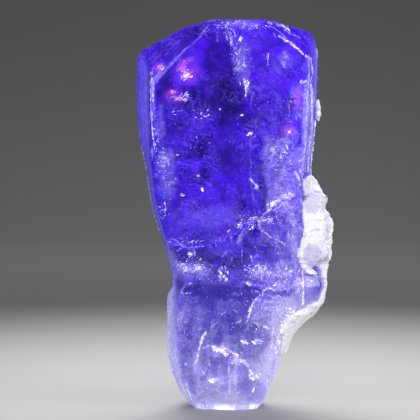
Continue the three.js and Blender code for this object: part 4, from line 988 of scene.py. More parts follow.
    (3.18, 18.19, 0.12, 0.3, 7, 0.09, 0.018, 60, 30, 0.8),
]
OTHER_FLECKS, OTHER_SHINE = 620, 0.55     # single flecks on the other sides and the top: number, brightness
FLECK_CORNERS = 5
FLECK_STRIDE = 0.04           # millimetres of a frosted line to each fleck on it
AT_ONCE = 250                 # flecks for which the nearest vertex is looked up in one go
# Worn edges strung with flecks: corner, lowest and highest z, half width, brightness.
EDGE_LINES = [
    (8, 15.6, 19.4, 0.045, 0.95), (7, 10.6, 15.8, 0.03, 0.9), (1, 14, 20.4, 0.035, 0.85),
    (2, 13.8, 17.8, 0.06, 1.1), (1, 6, 9, 0.03, 0.6),
]


def fleck_mesh(points, normals, lengths, widths, leans):
    """Tiny flat spindles lying in a surface: for each, a ragged ring of corners in the tangent plane with
    half length and half width, leaning from upright by an angle, closed by a point above and one below."""
    rng = np.random.default_rng(77)
    count = len(points)
    across = np.cross(np.array([0.0, 0.0, 1.0]) + 0 * normals, normals)
    across /= np.maximum(np.linalg.norm(across, axis=1, keepdims=True), 1e-6)
    lean = np.radians(leans)[:, None]
    long_way = np.cross(normals, across) * np.cos(lean) + across * np.sin(lean)
    short_way = np.cross(normals, long_way)
    turn = np.linspace(0, 2 * np.pi, FLECK_CORNERS, endpoint=False)
    ragged = rng.uniform(0.55, 1.1, (count, FLECK_CORNERS))
    ring = points[:, None] \
        + long_way[:, None] * (np.cos(turn) * ragged * lengths[:, None])[..., None] \
        + short_way[:, None] * (np.sin(turn) * ragged * widths[:, None])[..., None]
    thick = (0.35 * widths)[:, None]
    k, c = np.arange(count)[:, None], np.arange(FLECK_CORNERS)
    here, after = k * FLECK_CORNERS + c, k * FLECK_CORNERS + (c + 1) % FLECK_CORNERS
    top = count * FLECK_CORNERS + k + 0 * c
    upper, lower = (np.stack(f, -1).reshape(-1, 3) for f in ((here, after, top), (after, here, top + count)))
    vertices = np.concatenate([ring.reshape(-1, 3), points + normals * thick, points - normals * thick])
    return vertices, np.concatenate([upper, lower])


def on_the_front(x, z, points, normals):
    """Points and normals of the crystal's skin at x and z as seen from the front: the nearest vertex
    that faces there, and the spot on that vertex's tangent plane."""
    front = np.nonzero(normals[:, 1] < -0.2)[0]
    flat = points[front][:, [0, 2]]
    nearest = [front[((x[part, None] - flat[:, 0]) ** 2 + (z[part, None] - flat[:, 1]) ** 2).argmin(1)]
               for part in np.array_split(np.arange(len(x)), max(1, len(x) // AT_ONCE))]
    nearest = np.concatenate(nearest)
    home, normal = points[nearest], normals[nearest]
    dx, dz = x - home[:, 0], z - home[:, 2]
    y = home[:, 1] - (normal[:, 0] * dx + normal[:, 2] * dz) / normal[:, 1]
    return np.stack([x, y, z], -1), normal


def flecks_along(line, half, strength, rng):
    """Flecks strung along a line of x, z points: their x, z, half length, half width, lean, brightness."""
    legs = np.diff(line, axis=0)
    runs = np.concatenate([[0], np.cumsum(np.hypot(legs[:, 0], legs[:, 1]))])
    count = max(3, int(runs[-1] / FLECK_STRIDE * (0.6 + 12 * half)))
    at = rng.uniform(0, runs[-1], count)
    leg = np.clip(np.searchsorted(runs, at, side="right") - 1, 0, len(legs) - 1)
    x, z = (np.interp(at, runs, line[:, axis]) + rng.normal(0, 0.35 * half, count) for axis in (0, 1))
    lean = np.degrees(np.arctan2(legs[leg, 0], legs[leg, 1])) + rng.normal(0, 16, count)
    size = rng.lognormal(-0.2, 0.4, count)
    shine = strength * rng.uniform(0.45, 1.15, count)
    return np.stack([x, z, 0.075 * size, (0.009 + 0.27 * half) * size, lean, shine])


def edge_line(corner, low, high):
    """A worn edge of the prism as x, z points: one corner of the cross-section, followed upwards."""
    z = np.linspace(low, high, 24)
    left, right = through_stations(z, 1), through_stations(z, 2)
    return np.stack([left + (right - left) * CORNERS[corner, 0], z], -1)


def fleck_piece(crystal, material):
    """White flecks over the crystal: groups and lines of them on the front, single ones elsewhere."""
    rng = np.random.default_rng(5)
    points, normals = vertex_values(crystal, "co") / MM, vertex_values(crystal, "normal")
    groups = []
    for cx, cz, half_x, half_z, number, length, width, lean, spread, shine in FLECK_GROUPS:
        out, turn = np.sqrt(rng.uniform(0, 1, number)), rng.uniform(0, 2 * np.pi, number)
        size = rng.lognormal(-0.25, 0.45, number)
        groups.append(np.stack([
            cx + half_x * out * np.cos(turn), cz + half_z * out * np.sin(turn), length * size,
            width * size * rng.uniform(0.45, 1.0, number), lean + rng.normal(0, spread, number),
            shine * rng.uniform(0.55, 1.15, number),
        ]))
    groups += [flecks_along(as_points(line), half, strength, rng) for half, strength, *line in FROST_AND_SHEEN_LINES]
    groups += [flecks_along(edge_line(*edge), half, strength, rng) for *edge, half, strength in EDGE_LINES]
    flecks = np.concatenate(groups, axis=1)
    x, z, *rest = flecks[:, (flecks[1] > 0.1) & (flecks[1] < LENGTH - 0.15)]
    places, upright = on_the_front(x, z, points, normals)

    others = np.nonzero((normals[:, 1] > -0.5) & (points[:, 2] > 0.3))[0]
    picked = rng.choice(others, OTHER_FLECKS)
    size = rng.lognormal(-0.25, 0.5, OTHER_FLECKS)
    leans = rng.normal(0, 45, OTHER_FLECKS)
    single = [0.07 * size, 0.03 * size, leans, OTHER_SHINE * rng.uniform(0.4, 1.3, OTHER_FLECKS)]
    places = np.concatenate([places, points[picked]])
    upright = np.concatenate([upright, normals[picked]])
    lengths, widths, leans, shines = np.concatenate([rest, single], axis=1)
    # Painted pink glints on the flecks that lie in the glint patches, at random strength.
    pink_glint = patch_mask(places[:, 0], places[:, 2], GLINT_PATCHES, 0) * (places[:, 1] < 0)
    pink_glint *= rng.uniform(0, 1.3, len(places))
    vertices, faces = fleck_mesh(places, upright, lengths, widths, leans)
    piece = new_piece("crystal_flecks", vertices, faces, [material], smooth=False)
    for name, values in (("pink_glint", pink_glint), ("shine", shines)):
        add_mask(piece, name, np.concatenate([np.repeat(values, FLECK_CORNERS), values, values]))
    return piece


# ---------------------------------------------------------------- the matrix
CRUST_ROWS, CRUST_COLUMNS = 250, 230
CRUST_TURN = (-100, 100)      # degrees round the crystal, 0 towards +x
CRUST_Z = (2.6, 14.2)
CRUST_AXIS_X = -0.6           # upright axis from which the crust's distances are measured
CRUST_SINK = 0.14             # how far the crust's underside lies inside the crystal's skin
CRUST_THINNEST = 0.02
FILM_THICK, RIM_THICK = 0.09, 0.14        # of the film on the front, and of the rim beside the side lobe
BACK_BORDER_CORNER = 4        # corner of the section near which the matrix ends at the back
CHIP_ROWS, CHIP_COLUMNS = 40, 60


def crust_reach(z, ux, uy):
    """How far out along (ux, uy) from its axis the matrix reaches: the furthest of its swelling, a level
    ellipse, and of its knobs, spheres stretched upwards."""
    middle = through_stations(z, 2) - MATRIX_INSET
    outer, depth = through_stations(z, 1, MATRIX), through_stations(z, 2, MATRIX)
    reach = ellipse_exit(CRUST_AXIS_X - middle, -MATRIX_MIDDLE_Y, ux, uy, outer - middle, depth, 1.0)
    reach = np.where((z > MATRIX[0, 0]) & (z < MATRIX[-1, 0]), reach, 0)
    for kx, ky, kz, radius in KNOBS:
        level = 1 - ((z - kz) / (radius * 1.2)) ** 2
        knob = ellipse_exit(CRUST_AXIS_X - kx, -ky, ux, uy, radius, radius * 0.9, np.maximum(level, 0))
        reach = np.where(level > 0, np.maximum(reach, knob), reach)
    return reach


def ellipse_exit(ox, oy, ux, uy, rx, ry, level):
    """Far crossing of a level ray from (ox, oy) along (ux, uy) with the ellipse x²/rx² + y²/ry² = level."""
    a = (ux / rx) ** 2 + (uy / ry) ** 2
    b = ox * ux / rx ** 2 + oy * uy / ry ** 2
    c = (ox / rx) ** 2 + (oy / ry) ** 2 - level
    root = b * b - a * c
    return np.where(root > 0, (-b + np.sqrt(np.maximum(root, 0))) / a, 0)


def crystal_reach(z, ux, uy, grid):
    """How far out along (ux, uy) the crystal's own surface is, read off its side rows by angle."""
    rows = grid[FOOT_RINGS:FOOT_RINGS + LOW_ROWS]
    heights = rows[:, 0, 2]
    wanted = np.arctan2(uy[0], ux[0])
    table = np.zeros((len(rows), len(wanted)))
    for k in range(len(rows)):
        dx, dy = rows[k, :, 0] - CRUST_AXIS_X, rows[k, :, 1]
        angle = np.arctan2(dy, dx)
        order = np.argsort(angle)
        table[k] = np.interp(wanted, angle[order], np.hypot(dx, dy)[order], period=2 * np.pi)
    level = np.clip(np.searchsorted(heights, z[:, 0], side="right") - 1, 0, len(rows) - 2)
    t = ((z[:, 0] - heights[level]) / (heights[level + 1] - heights[level]))[:, None]
    return table[level] * (1 - t) + table[level + 1] * t


def inside_outline(x, z, outline):
    """Signed depth inside a closed outline in x and z: positive inside, negative outside."""
    inside = np.zeros(x.shape, bool)
    for (x0, z0), (x1, z1) in zip(outline, np.roll(outline, -1, axis=0)):
        crosses = (z0 > z) != (z1 > z)
        at = x0 + (z - z0) * (x1 - x0) / (z1 - z0 if z1 != z0 else 1)
        inside ^= crosses & (x < at)
    gap = line_distance(x, z, np.concatenate([outline, outline[:1]]))
    return np.where(inside, gap, -gap)


def crust_skin(own, z, ux, uy):
    """Outer skin of the matrix as a distance from its axis, and where it is kept. It starts thin along a
    ragged border on the front, thickens to the reach of its swelling and knobs, and has low broken
    faces and a sugary grain. A window leaves the side lobe bare, with a thin rim round it."""
    swelling = crust_reach(z, ux, uy)
    there = np.stack([CRUST_AXIS_X + ux * swelling, uy * swelling, z], -1)
    ragged = rough_noise(there, 0.45, 331, 4)
    calm = 0.35 + 0.65 * np.maximum(smooth_step(5.6, 7.0, z), smooth_step(-0.1, 0.5, uy))
    blocks = blocky_noise(there * [1, 1, 0.8], 1.15, 301) * 0.150 + blocky_noise(there, 0.42, 305) * 0.060
    sugar = rough_noise(there, 0.5, 311, 3) * 0.030 + blocky_noise(there, 0.17, 315) * 0.022
    beside_window = between(z, 6.0, 6.6, 8.0, 8.4) * smooth_step(0.6, 0.3, uy)
    broken = ((blocks + sugar) * calm - 0.05) * (1 - 0.85 * beside_window)
    outer = swelling + np.where(swelling > 0, broken, 0)
    outer = np.minimum(outer, (crust_high.x / MM - CRUST_AXIS_X) / np.maximum(ux, 0.05))
    film_top = z + 0.12 * rough_noise(there, 0.3, 321, 3)
    film = FILM_THICK * smooth_step(9.6, 10.4, z) * smooth_step(13.95, 13.75, film_top)
    outer = np.where(uy < 0, np.maximum(outer, own + film * (film > 0.02)), outer)
    rim = between(z, 5.4, 5.8, 9.0, 9.4) * smooth_step(0.7, 0.4, uy)
    outer = np.maximum(outer, own + RIM_THICK * rim * (rim > 0.1))

    left, right = through_stations(z, 1), through_stations(z, 2)
    front_border = np.interp(z, FRONT_BORDER[:, 0], FRONT_BORDER[:, 1]) + 0.07 * ragged
    back_border = left + (right - left) * CORNERS[BACK_BORDER_CORNER, 0] + 0.45 * ragged
    within = CRUST_AXIS_X + ux * own - np.where(uy < 0, front_border, back_border)
    bare = np.minimum(inside_outline(there[..., 0], z, WINDOW), (-0.10 - there[..., 1]) * 0.5)
    bare += 0.06 * ragged * (1 - 0.7 * smooth_step(8.2, 7.8, z))
    grown = smooth_step(-0.02, 0.45, within) * smooth_step(0.0, -0.25, bare)
    thickness = (outer - own) * (0.25 + 0.75 * np.maximum(grown, 0.7 * beside_window))
    kept = (outer > own) & (within > 0) & (bare < 0) & (z > 3.2 + 0.45 * ragged * np.abs(uy))
    return own + np.maximum(thickness, CRUST_THINNEST), kept


def crust_piece(grid, material):
    """The white rock on the crystal's right: its skin where that is kept, closed by an underside that
    lies just inside the crystal's own skin."""
    turn = np.radians(np.linspace(*CRUST_TURN, CRUST_COLUMNS))
    z = np.linspace(*CRUST_Z, CRUST_ROWS)[:, None] + 0 * turn
    ux, uy = np.cos(turn) + 0 * z, np.sin(turn) + 0 * z
    own = crystal_reach(z, ux, uy, grid)
    skin, kept = crust_skin(own, z, ux, uy)
    cell = largest_patch(kept[:-1, :-1] & kept[1:, :-1] & kept[:-1, 1:] & kept[1:, 1:])
    points = np.concatenate([np.stack([CRUST_AXIS_X + ux * out, uy * out, z], -1).reshape(-1, 3)
                             for out in (skin, own - CRUST_SINK)])

    def corners(chosen):
        """The four grid points of the chosen cells: near and far in the lower row, then in the upper."""
        r, c = np.nonzero(chosen)
        return [r * CRUST_COLUMNS + c + shift for shift in (0, 1, CRUST_COLUMNS, CRUST_COLUMNS + 1)]

    shell = skin.size
    near, far, over, beyond = corners(cell)
    faces = [np.stack([near, far, beyond, over], -1), shell + np.stack([near, over, beyond, far], -1)]
    padded = np.pad(cell, 1)
    for (dr, dc), (a, b) in {(-1, 0): (0, 1), (0, 1): (1, 3), (1, 0): (3, 2), (0, -1): (2, 0)}.items():
        neighbour = np.roll(padded, (-dr, -dc), axis=(0, 1))[1:-1, 1:-1]
        corner = corners(cell & ~neighbour)
        faces.append(np.stack([corner[b], corner[a], shell + corner[a], shell + corner[b]], -1))
    faces = np.concatenate(faces)
    used, where = np.unique(faces, return_inverse=True)
    points, faces = points[used], where.reshape(faces.shape)
    piece = new_piece("matrix_crust_fine", points, faces, [material])
    x, y, z = points.T
    add_mask(piece, "tint", zone_mask(x, z, "tint", rough_noise(points, 0.3, 341, 3)) * (y < 0))
    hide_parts("matrix_crust")
    return piece


def around(grid):
    """The values of the cells above, below, left and right of each cell, 0 beyond the border."""
    p = np.pad(grid, 1)
    return p[2:, 1:-1], p[:-2, 1:-1], p[1:-1, :-2], p[1:-1, 2:]


def largest_patch(cell):
    """The biggest connected patch of a grid of cells: labels spread until they stop changing. Thin
    strands, and cells that touch another only at a corner, are dropped first."""
    cell = cell.copy()
    for _ in range(6):
        up, down, left, right = around(cell)
        cell &= (up & down) | (left & right) | ((up | down) & (left | right))
        a, b, c, d = (part.copy() for part in (cell[:-1, :-1], cell[:-1, 1:], cell[1:, :-1], cell[1:, 1:]))
        cell[:-1, :-1] &= ~(a & d & ~b & ~c)
        cell[:-1, 1:] &= ~(b & c & ~a & ~d)
    label = np.where(cell, np.arange(cell.size).reshape(cell.shape) + 1, 0)
    while True:
        spread = np.where(cell, np.max([label, *around(label)], axis=0), 0)
        if (spread == label).all():
            break
        label = spread
    counts = np.bincount(label.ravel())
    counts[0] = 0
    return label == counts.argmax()


def chip_piece(material):
    """The crumb of matrix on the right edge: a sphere in the box of its node, broken into blocks."""
    low, high = np.array(chip_low) / MM, np.array(chip_high) / MM
    centre, half = (low + high) / 2 + [0.05, 0, 0], (high - low) / 2 * [1.3, 1.0, 1.05]
    lift = np.linspace(-np.pi / 2, np.pi / 2, CHIP_ROWS + 2)[1:-1, None]
    turn = np.linspace(0, 2 * np.pi, CHIP_COLUMNS, endpoint=False)
    ball = np.stack([np.cos(lift) * np.cos(turn), np.cos(lift) * np.sin(turn), np.sin(lift) + 0 * turn], -1)
    place = centre + ball * half
    neck = np.exp(-((place[..., 2] - centre[2] - 0.06) / 0.13) ** 2)
    broken = 0.30 * np.abs(blocky_noise(place, 0.34, 401)) + 0.06 * np.abs(rough_noise(place, 0.16, 407, 3))
    points = (centre + ball * half * (1 - 0.16 * neck - broken)[..., None]).reshape(-1, 3)
    pole = np.array([0, 0, half[2] * 0.9])
    points = np.concatenate([points, [centre - pole, centre + pole]])
    _, faces = capped_faces(CHIP_ROWS, CHIP_COLUMNS)
    piece = new_piece("matrix_chip_fine", points, faces, [material])
    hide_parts("matrix_chip")
    return piece


# ---------------------------------------------------------------- finishes
TANZANITE_IOR = 1.69
TRANSMISSION = 0.56
ABSORB_COLOUR = (0.36, 0.16, 0.95, 1.0)
ABSORB_DENSITY = 110.0
# Emission strengths: a painted glow standing in for light scattered inside the crystal, and on the flecks.
CRYSTAL_GLOW, FLECK_GLOW = 0.24, 0.22
CRYSTAL_BUMP, CRUSHED_BUMP, ROCK_BUMP = (0.32, 0.00006), (0.6, 0.00005), (0.9, 0.00012)   # strength, metres
# Heights in metres between which something comes in: going down, paler lines and flecks, the washed-out
# lower end and the matrix's foot, laid lighter as painted light where it faces down into shade; going up,
# the matrix's greyer top.
TURNS_PALE, WASHED_OUT = (0.0085, 0.0060), (0.0074, 0.0050)
ROCK_FOOT, ROCK_TOP = (0.0068, 0.0052), (0.0112, 0.0130)


def colour(r, g, b):
    """sRGB from 0 to 255 as the linear colour that nodes take."""
    lin = [c / 255 for c in (r, g, b)]
    return tuple(c / 12.92 if c <= 0.04045 else ((c + 0.055) / 1.055) ** 2.4 for c in lin) + (1.0,)


# Body colour by height, as a share of the length from the foot, and sRGB.
BODY_TONES = [
    (0.00, (212, 210, 238)), (0.12, (178, 173, 232)), (0.22, (142, 134, 220)), (0.33, (110, 98, 213)),
    (0.42, (84, 60, 214)), (0.50, (80, 40, 224)), (0.60, (74, 22, 220)), (0.76, (76, 16, 228)),
    (1.00, (94, 26, 242)),
]
INDIGO = colour(30, 8, 150)
NAVY = colour(12, 4, 82)
SLATE_VIOLET = colour(52, 34, 172)
BRIGHT_VIOLET = colour(106, 44, 255)
GLINT_VIOLET = colour(160, 52, 248)
BRIGHT_LILAC = colour(134, 100, 255)
LILAC = colour(170, 150, 250)
HAZE_LILAC = colour(172, 153, 255)
HATCH_LILAC = colour(206, 198, 255)
PALE_LAVENDER = colour(222, 221, 246)
FROST_AND_SHEEN_WHITE = colour(228, 224, 252)
GLINT_PINK = colour(255, 120, 240)
GLINT_GLOW_PINK = colour(255, 150, 255)
CRUSHED_WHITE, CRUSHED_LILAC = colour(236, 233, 255), colour(160, 146, 244)
CRUSHED_SPARK = colour(250, 248, 255)
FLECK_VIOLET, FLECK_GREY, FLECK_WHITE = colour(84, 46, 232), colour(150, 142, 226), colour(248, 245, 255)
FLECK_PIT, FLECK_GLINT_PINK, FLECK_GLINT_CORE = colour(44, 24, 140), colour(255, 130, 226), colour(255, 214, 236)
ROCK_WHITE, ROCK_SHADE, ROCK_GREY = colour(250, 250, 255), colour(222, 220, 244), colour(206, 204, 234)
ROCK_LIT_FOOT, ROCK_VEIL, ROCK_TINT = colour(246, 244, 246), colour(176, 170, 220), colour(196, 190, 236)
ROCK_PORE, ROCK_SPARK = colour(158, 154, 200), colour(252, 252, 255)


class Look:
    """A node tree being filled. `place` is where its noises are looked up, `base` its colour so far."""

    def __init__(self, tree, place=None):
        self.tree, self.place, self.base = tree, place, None

    def node(self, kind, settings=None, inputs=None):
        """A node with its properties and, by name or number, its input values or links set."""
        node = self.tree.nodes.new("ShaderNode" + kind)
        for key, value in (settings or {}).items():
            setattr(node, key, value)
        for key, value in (inputs or {}).items():
            if isinstance(value, bpy.types.NodeSocket):
                self.tree.links.new(value, node.inputs[key])
            else:
                node.inputs[key].default_value = value
        return node

    def math(self, operation, a, b=0.0, c=0.0, clamp=False):
        settings = {"operation": operation, "use_clamp": clamp}
        return self.node("Math", settings, {0: a, 1: b, 2: c}).outputs[0]

    def product(self, first, *others):
        """All factors multiplied, each a number or a socket."""
        for factor in others:
            first = self.math("MULTIPLY", first, factor)
        return first

    def rest(self, value, clamp=False):
        """What is left of 1 after the value."""
        return self.math("SUBTRACT", 1.0, value, clamp=clamp)

    def remap(self, value, low, high, to_low=0.0, to_high=1.0):
        settings = {"clamp": True, "interpolation_type": "SMOOTHSTEP"}
        return self.node("MapRange", settings, {0: value, 1: low, 2: high, 3: to_low, 4: to_high}).outputs[0]

    def stretched(self, place, factors):
        return self.node("VectorMath", {"operation": "MULTIPLY"}, {0: place, 1: factors}).outputs[0]

    def height(self):
        return self.node("SeparateXYZ", inputs={0: self.place}).outputs["Z"]

    def noise(self, scale, detail=3.0, roughness=0.55, distortion=0.0, place=None):
        return self.node("TexNoise", inputs={
            "Vector": place or self.place, "Scale": scale, "Detail": detail, "Roughness": roughness,
            "Distortion": distortion,
        }).outputs["Fac"]

    def spots(self, low, high, *noise):
        """Places where a noise is high: 0 where it is under the one limit, 1 where it is over the other."""
        return self.remap(self.noise(*noise), low, high)

    def attribute(self, name):
        return self.node("Attribute", {"attribute_name": name}).outputs["Fac"]

    def mix(self, share, a, b, mode="MIX"):
        settings = {"data_type": "RGBA", "blend_type": mode, "clamp_factor": True}
        return self.node("Mix", settings, {0: share, 6: a, 7: b}).outputs[2]

    def darker(self):
        """The base colour multiplied by itself."""
        return self.mix(1.0, self.base, self.base, "MULTIPLY")

    def layer(self, tone, *shares):
        """Lays a tone over the base colour, as strongly as all the shares multiplied."""
        self.base = self.mix(self.product(*shares), self.base, tone)

    def effect(self, name, **inputs):
        """An effect's group placed with its own values; gives its mask."""
        inputs["Place"] = self.place
        return self.node("Group", {"node_tree": bpy.data.node_groups[name]}, inputs).outputs[0]

    def scratches(self, lean, scale, drawn=0.12, keep=0.50):
        """The scratches group, leaning by so many radians from upright."""
        return self.effect("fine_scratches", Turn=(0.0, lean, 0.0), Scale=scale, Drawn=drawn, Keep=keep)

    def feed(self, socket, value):
        """Links a value to a socket of the material's shader."""
        self.tree.links.new(value, self.shader.inputs[socket])

    def bump(self, height, strength, distance):
        inputs = {"Strength": strength, "Distance": distance, "Height": height}
        self.feed("Normal", self.node("Bump", inputs=inputs).outputs[0])


def new_group(name, **inputs):
    """An empty shader node group with inputs of those defaults and a mask as its output."""
    group = bpy.data.node_groups.new(name, "ShaderNodeTree")
    for label, default in {"Place": (0, 0, 0), **inputs}.items():
        kind = "NodeSocketFloat" if isinstance(default, float) else "NodeSocketVector"
        group.interface.new_socket(label, in_out="INPUT", socket_type=kind).default_value = default
    group.interface.new_socket("Mask", in_out="OUTPUT", socket_type="NodeSocketFloat")
    given, out = group.nodes.new("NodeGroupInput"), group.nodes.new("NodeGroupOutput")
    return Look(group, given.outputs["Place"]), given.outputs, out.inputs["Mask"]


def make_scratches():
    """Short fine scratches: of a noise drawn out along one direction only the crests show, in pieces."""
    look, given, out = new_group("fine_scratches", Turn=(0, 0, 0), Scale=6000.0, Drawn=0.12, Keep=0.62)
    turned = look.node("Mapping", inputs={0: look.place, "Rotation": given["Turn"]}).outputs[0]
    factors = look.node("CombineXYZ", inputs={0: 1.0, 1: 1.0, 2: given["Drawn"]}).outputs[0]
    line = look.noise(given["Scale"], 2.0, 0.6, 0.3, look.stretched(turned, factors))
    crest = look.product(line, look.spots(0.30, 0.55, 1300.0, 2.0))
    look.tree.links.new(look.remap(crest, given["Keep"], look.math("ADD", given["Keep"], 0.07)), out)


def make_cracks():
    """Healed cracks: thin winding lines where a warped noise crosses its middle value."""
    look, given, out = new_group("healed_cracks", Scale=1800.0, Width=0.015, Winding=1.0)
    field = look.noise(given["Scale"], 2.0, 0.55, given["Winding"])
    gap = look.math("ABSOLUTE", look.math("SUBTRACT", field, 0.5))
    look.tree.links.new(look.remap(gap, 0.0, given["Width"], 1.0, 0.0), out)


def make_sparks():
    """Sparks: round dots at random cell middles; the cells that have one gather where a noise is high."""
    look, given, out = new_group("sparks", Scale=5000.0, Size=0.25, Spread=900.0, Crowd=0.5)
    cells = look.node("TexVoronoi", inputs={"Vector": look.place, "Scale": given["Scale"]}).outputs
    chance = look.node("SeparateColor", inputs={0: cells["Color"]}).outputs[0]
    size = look.product(given["Size"], chance)
    dot = look.remap(cells["Distance"], look.product(size, 0.5), size, 1.0, 0.0)
    crowd = look.spots(given["Crowd"], look.math("ADD", given["Crowd"], 0.12), given["Spread"])
    look.tree.links.new(look.product(dot, crowd), out)


def new_material(name, numbers):
    """The look of a new material with one Principled shader that has these numbers all over."""
    material = bpy.data.materials.new(name)
    material.use_nodes = True
    material.node_tree.nodes.clear()
    look = Look(material.node_tree)
    look.material = material
    look.place = look.node("TexCoord").outputs["Object"]
    look.shader, look.output = look.node("BsdfPrincipled", inputs=numbers), look.node("OutputMaterial")
    look.tree.links.new(look.shader.outputs[0], look.output.inputs["Surface"])
    return look


def body_colour(look):
    """The crystal's colour: pale lavender at the foot to deep violet at the top, mottled with indigo and
    bright violet, crossed by healed cracks, fibres and sparks, and with the masks' own places."""
    height = look.height()
    wander = look.math("SUBTRACT", look.noise(420.0, 4.0, 0.6), 0.5)
    share = look.math("MULTIPLY_ADD", wander, 0.28, look.math("DIVIDE", height, LENGTH * MM))
    ramp = look.node("ValToRGB", inputs={0: share})
    stops = ramp.color_ramp.elements
    for stop, (position, tone) in zip(stops, (BODY_TONES[0], BODY_TONES[-1])):
        stop.position, stop.color = position, colour(*tone)
    for position, tone in BODY_TONES[1:-1]:
        stops.new(position).color = colour(*tone)
    look.base = ramp.outputs[0]

    low = look.remap(height, *TURNS_PALE)
    thread = look.mix(low, BRIGHT_LILAC, LILAC)
    look.layer(BRIGHT_VIOLET, look.attribute("vivid"), 0.80)
    look.layer(INDIGO, look.spots(0.44, 0.60, 820.0, 4.0, 0.6, 0.6), 0.55)
    # The deep tone lays indigo patches and, under the broken ledge, a painted shadow.
    deep, deep_tone = look.attribute("deep"), look.mix(low, NAVY, SLATE_VIOLET)
    look.layer(deep_tone, deep, 0.82)

    busy, calm = look.attribute("busy"), look.attribute("calm")
    stir = look.rest(look.product(calm, 0.85))
    mottles = look.spots(0.50, 0.64, 2100.0, 4.0, 0.65, 0.8)
    look.layer(BRIGHT_VIOLET, mottles, stir, look.remap(busy, 0.0, 1.0, 0.25, 0.65))
    pits = look.spots(0.50, 0.62, 2500.0, 4.0, 0.65, 0.8)
    look.layer(look.darker(), pits, stir, look.remap(busy, 0.0, 1.0, 0.15, 0.70))
    busiest = look.remap(busy, 0.25, 0.95)
    curls = look.effect("healed_cracks", Scale=2000.0, Width=0.08, Winding=2.4)
    look.layer(thread, curls, busiest, 0.36)
    look.layer(thread, look.spots(0.58, 0.66, 4200.0, 3.0, 0.7, 1.0), busiest, 0.55)
    look.layer(BRIGHT_LILAC, look.scratches(-0.78, 5200.0, 0.05), calm, 0.22)

    haze, pale = look.attribute("haze"), look.attribute("pale")
    look.layer(HAZE_LILAC, haze, 0.88)
    look.layer(PALE_LAVENDER, pale, 0.85)
    look.layer(deep_tone, deep, low, 0.70)
    look.layer(HATCH_LILAC, look.scratches(1.42, 6200.0, 0.06), haze, 0.60)

    bands = look.spots(0.36, 0.64, 2300.0, 4.0, 0.62, 0.3, look.stretched(look.place, (1.0, 1.0, 0.10)))
    lowest = look.product(look.remap(height, *WASHED_OUT), look.rest(deep, clamp=True))
    look.layer(PALE_LAVENDER, look.spots(0.46, 0.62, 1500.0, 4.0, 0.65, 1.0), lowest, 0.40)
    look.layer(PALE_LAVENDER, bands, lowest, 0.12)
    look.layer(look.darker(), look.rest(bands), lowest, 0.16)
    look.layer(PALE_LAVENDER, look.scratches(0.0, 7000.0, 0.03), lowest, 0.22)
    dark_lines = look.effect("healed_cracks", Scale=1500.0, Width=0.060, Winding=2.0)
    look.layer(NAVY, dark_lines, busy, 0.45)
    light_lines = look.effect("healed_cracks", Scale=1300.0, Width=0.045, Winding=2.2)
    somewhere = look.spots(0.45, 0.60, 600.0, 2.0)
    look.layer(thread, light_lines, somewhere, 0.6)
    look.layer(thread, look.scratches(1.25, 5200.0, keep=0.52), somewhere, 0.5)
    sparks = look.effect("sparks", Scale=4200.0, Size=0.40, Spread=800.0, Crowd=0.48)
    look.layer(thread, sparks, 0.35)

    glint, frost_and_sheen = look.attribute("glint"), look.attribute("frost_and_sheen")
    # Painted glints: violet halos and pink cores of light reflected inside the stone.
    look.layer(GLINT_VIOLET, look.remap(glint, 0.02, 0.45, 0.0, 0.65))
    look.layer(GLINT_PINK, look.remap(glint, 0.45, 0.85, 0.0, 0.9))
    # Frosted white, and the painted highlight along the upper left bevel's edge, which shares its mask.
    grit = look.remap(look.noise(6500.0, 3.0, 0.6), 0.40, 0.58, 0.15, 1.0)
    look.layer(FROST_AND_SHEEN_WHITE, look.remap(frost_and_sheen, 0.12, 0.75), grit)
    look.feed("Base Color", look.base)
    return frost_and_sheen, glint, pale


def tanzanite_material():
    look = new_material("tanzanite", {
        "Transmission Weight": TRANSMISSION, "IOR": TANZANITE_IOR, "Emission Strength": CRYSTAL_GLOW,
    })
    frost_and_sheen, glint, pale = body_colour(look)
    # Painted glow: the emission colour is the body colour, darker where it is not pale, plus painted pink
    # glints.
    deepest = look.mix(0.5, look.base, look.darker())
    glow = look.mix(pale, deepest, look.base)
    look.feed("Emission Color", look.mix(look.product(glint, 0.9), glow, GLINT_GLOW_PINK, "ADD"))
    rough = look.remap(look.noise(900.0, 4.0), 0.3, 0.7, 0.06, 0.24)
    look.feed("Roughness", look.math("MULTIPLY_ADD", frost_and_sheen, 0.45, rough, clamp=True))
    waves, fine = look.noise(1100.0, 2.0, 0.5, 0.6), look.noise(3800.0, 4.0, 0.65)
    look.bump(look.math("MULTIPLY_ADD", waves, 1.6, fine), *CRYSTAL_BUMP)
    inside = look.node("VolumeAbsorption", inputs={"Color": ABSORB_COLOUR, "Density": ABSORB_DENSITY})
    look.tree.links.new(inside.outputs[0], look.output.inputs["Volume"])
    return look.material


def frosted_material():
    """Bruised tanzanite: the same stone, crushed to a white powdery surface."""
    look = new_material("bruised_tanzanite", {"IOR": TANZANITE_IOR})
    tone = look.noise(2600.0, 4.0)
    look.base = look.mix(look.remap(tone, 0.40, 0.62), CRUSHED_WHITE, CRUSHED_LILAC)
    sparks = look.effect("sparks", Scale=6500.0, Size=0.5, Spread=1500.0, Crowd=0.40)
    look.layer(CRUSHED_SPARK, sparks, 0.8)
    look.feed("Base Color", look.base)
    look.feed("Roughness", look.remap(tone, 0.3, 0.7, 0.40, 0.75))
    look.bump(look.noise(6000.0, 3.0), *CRUSHED_BUMP)
    return look.material


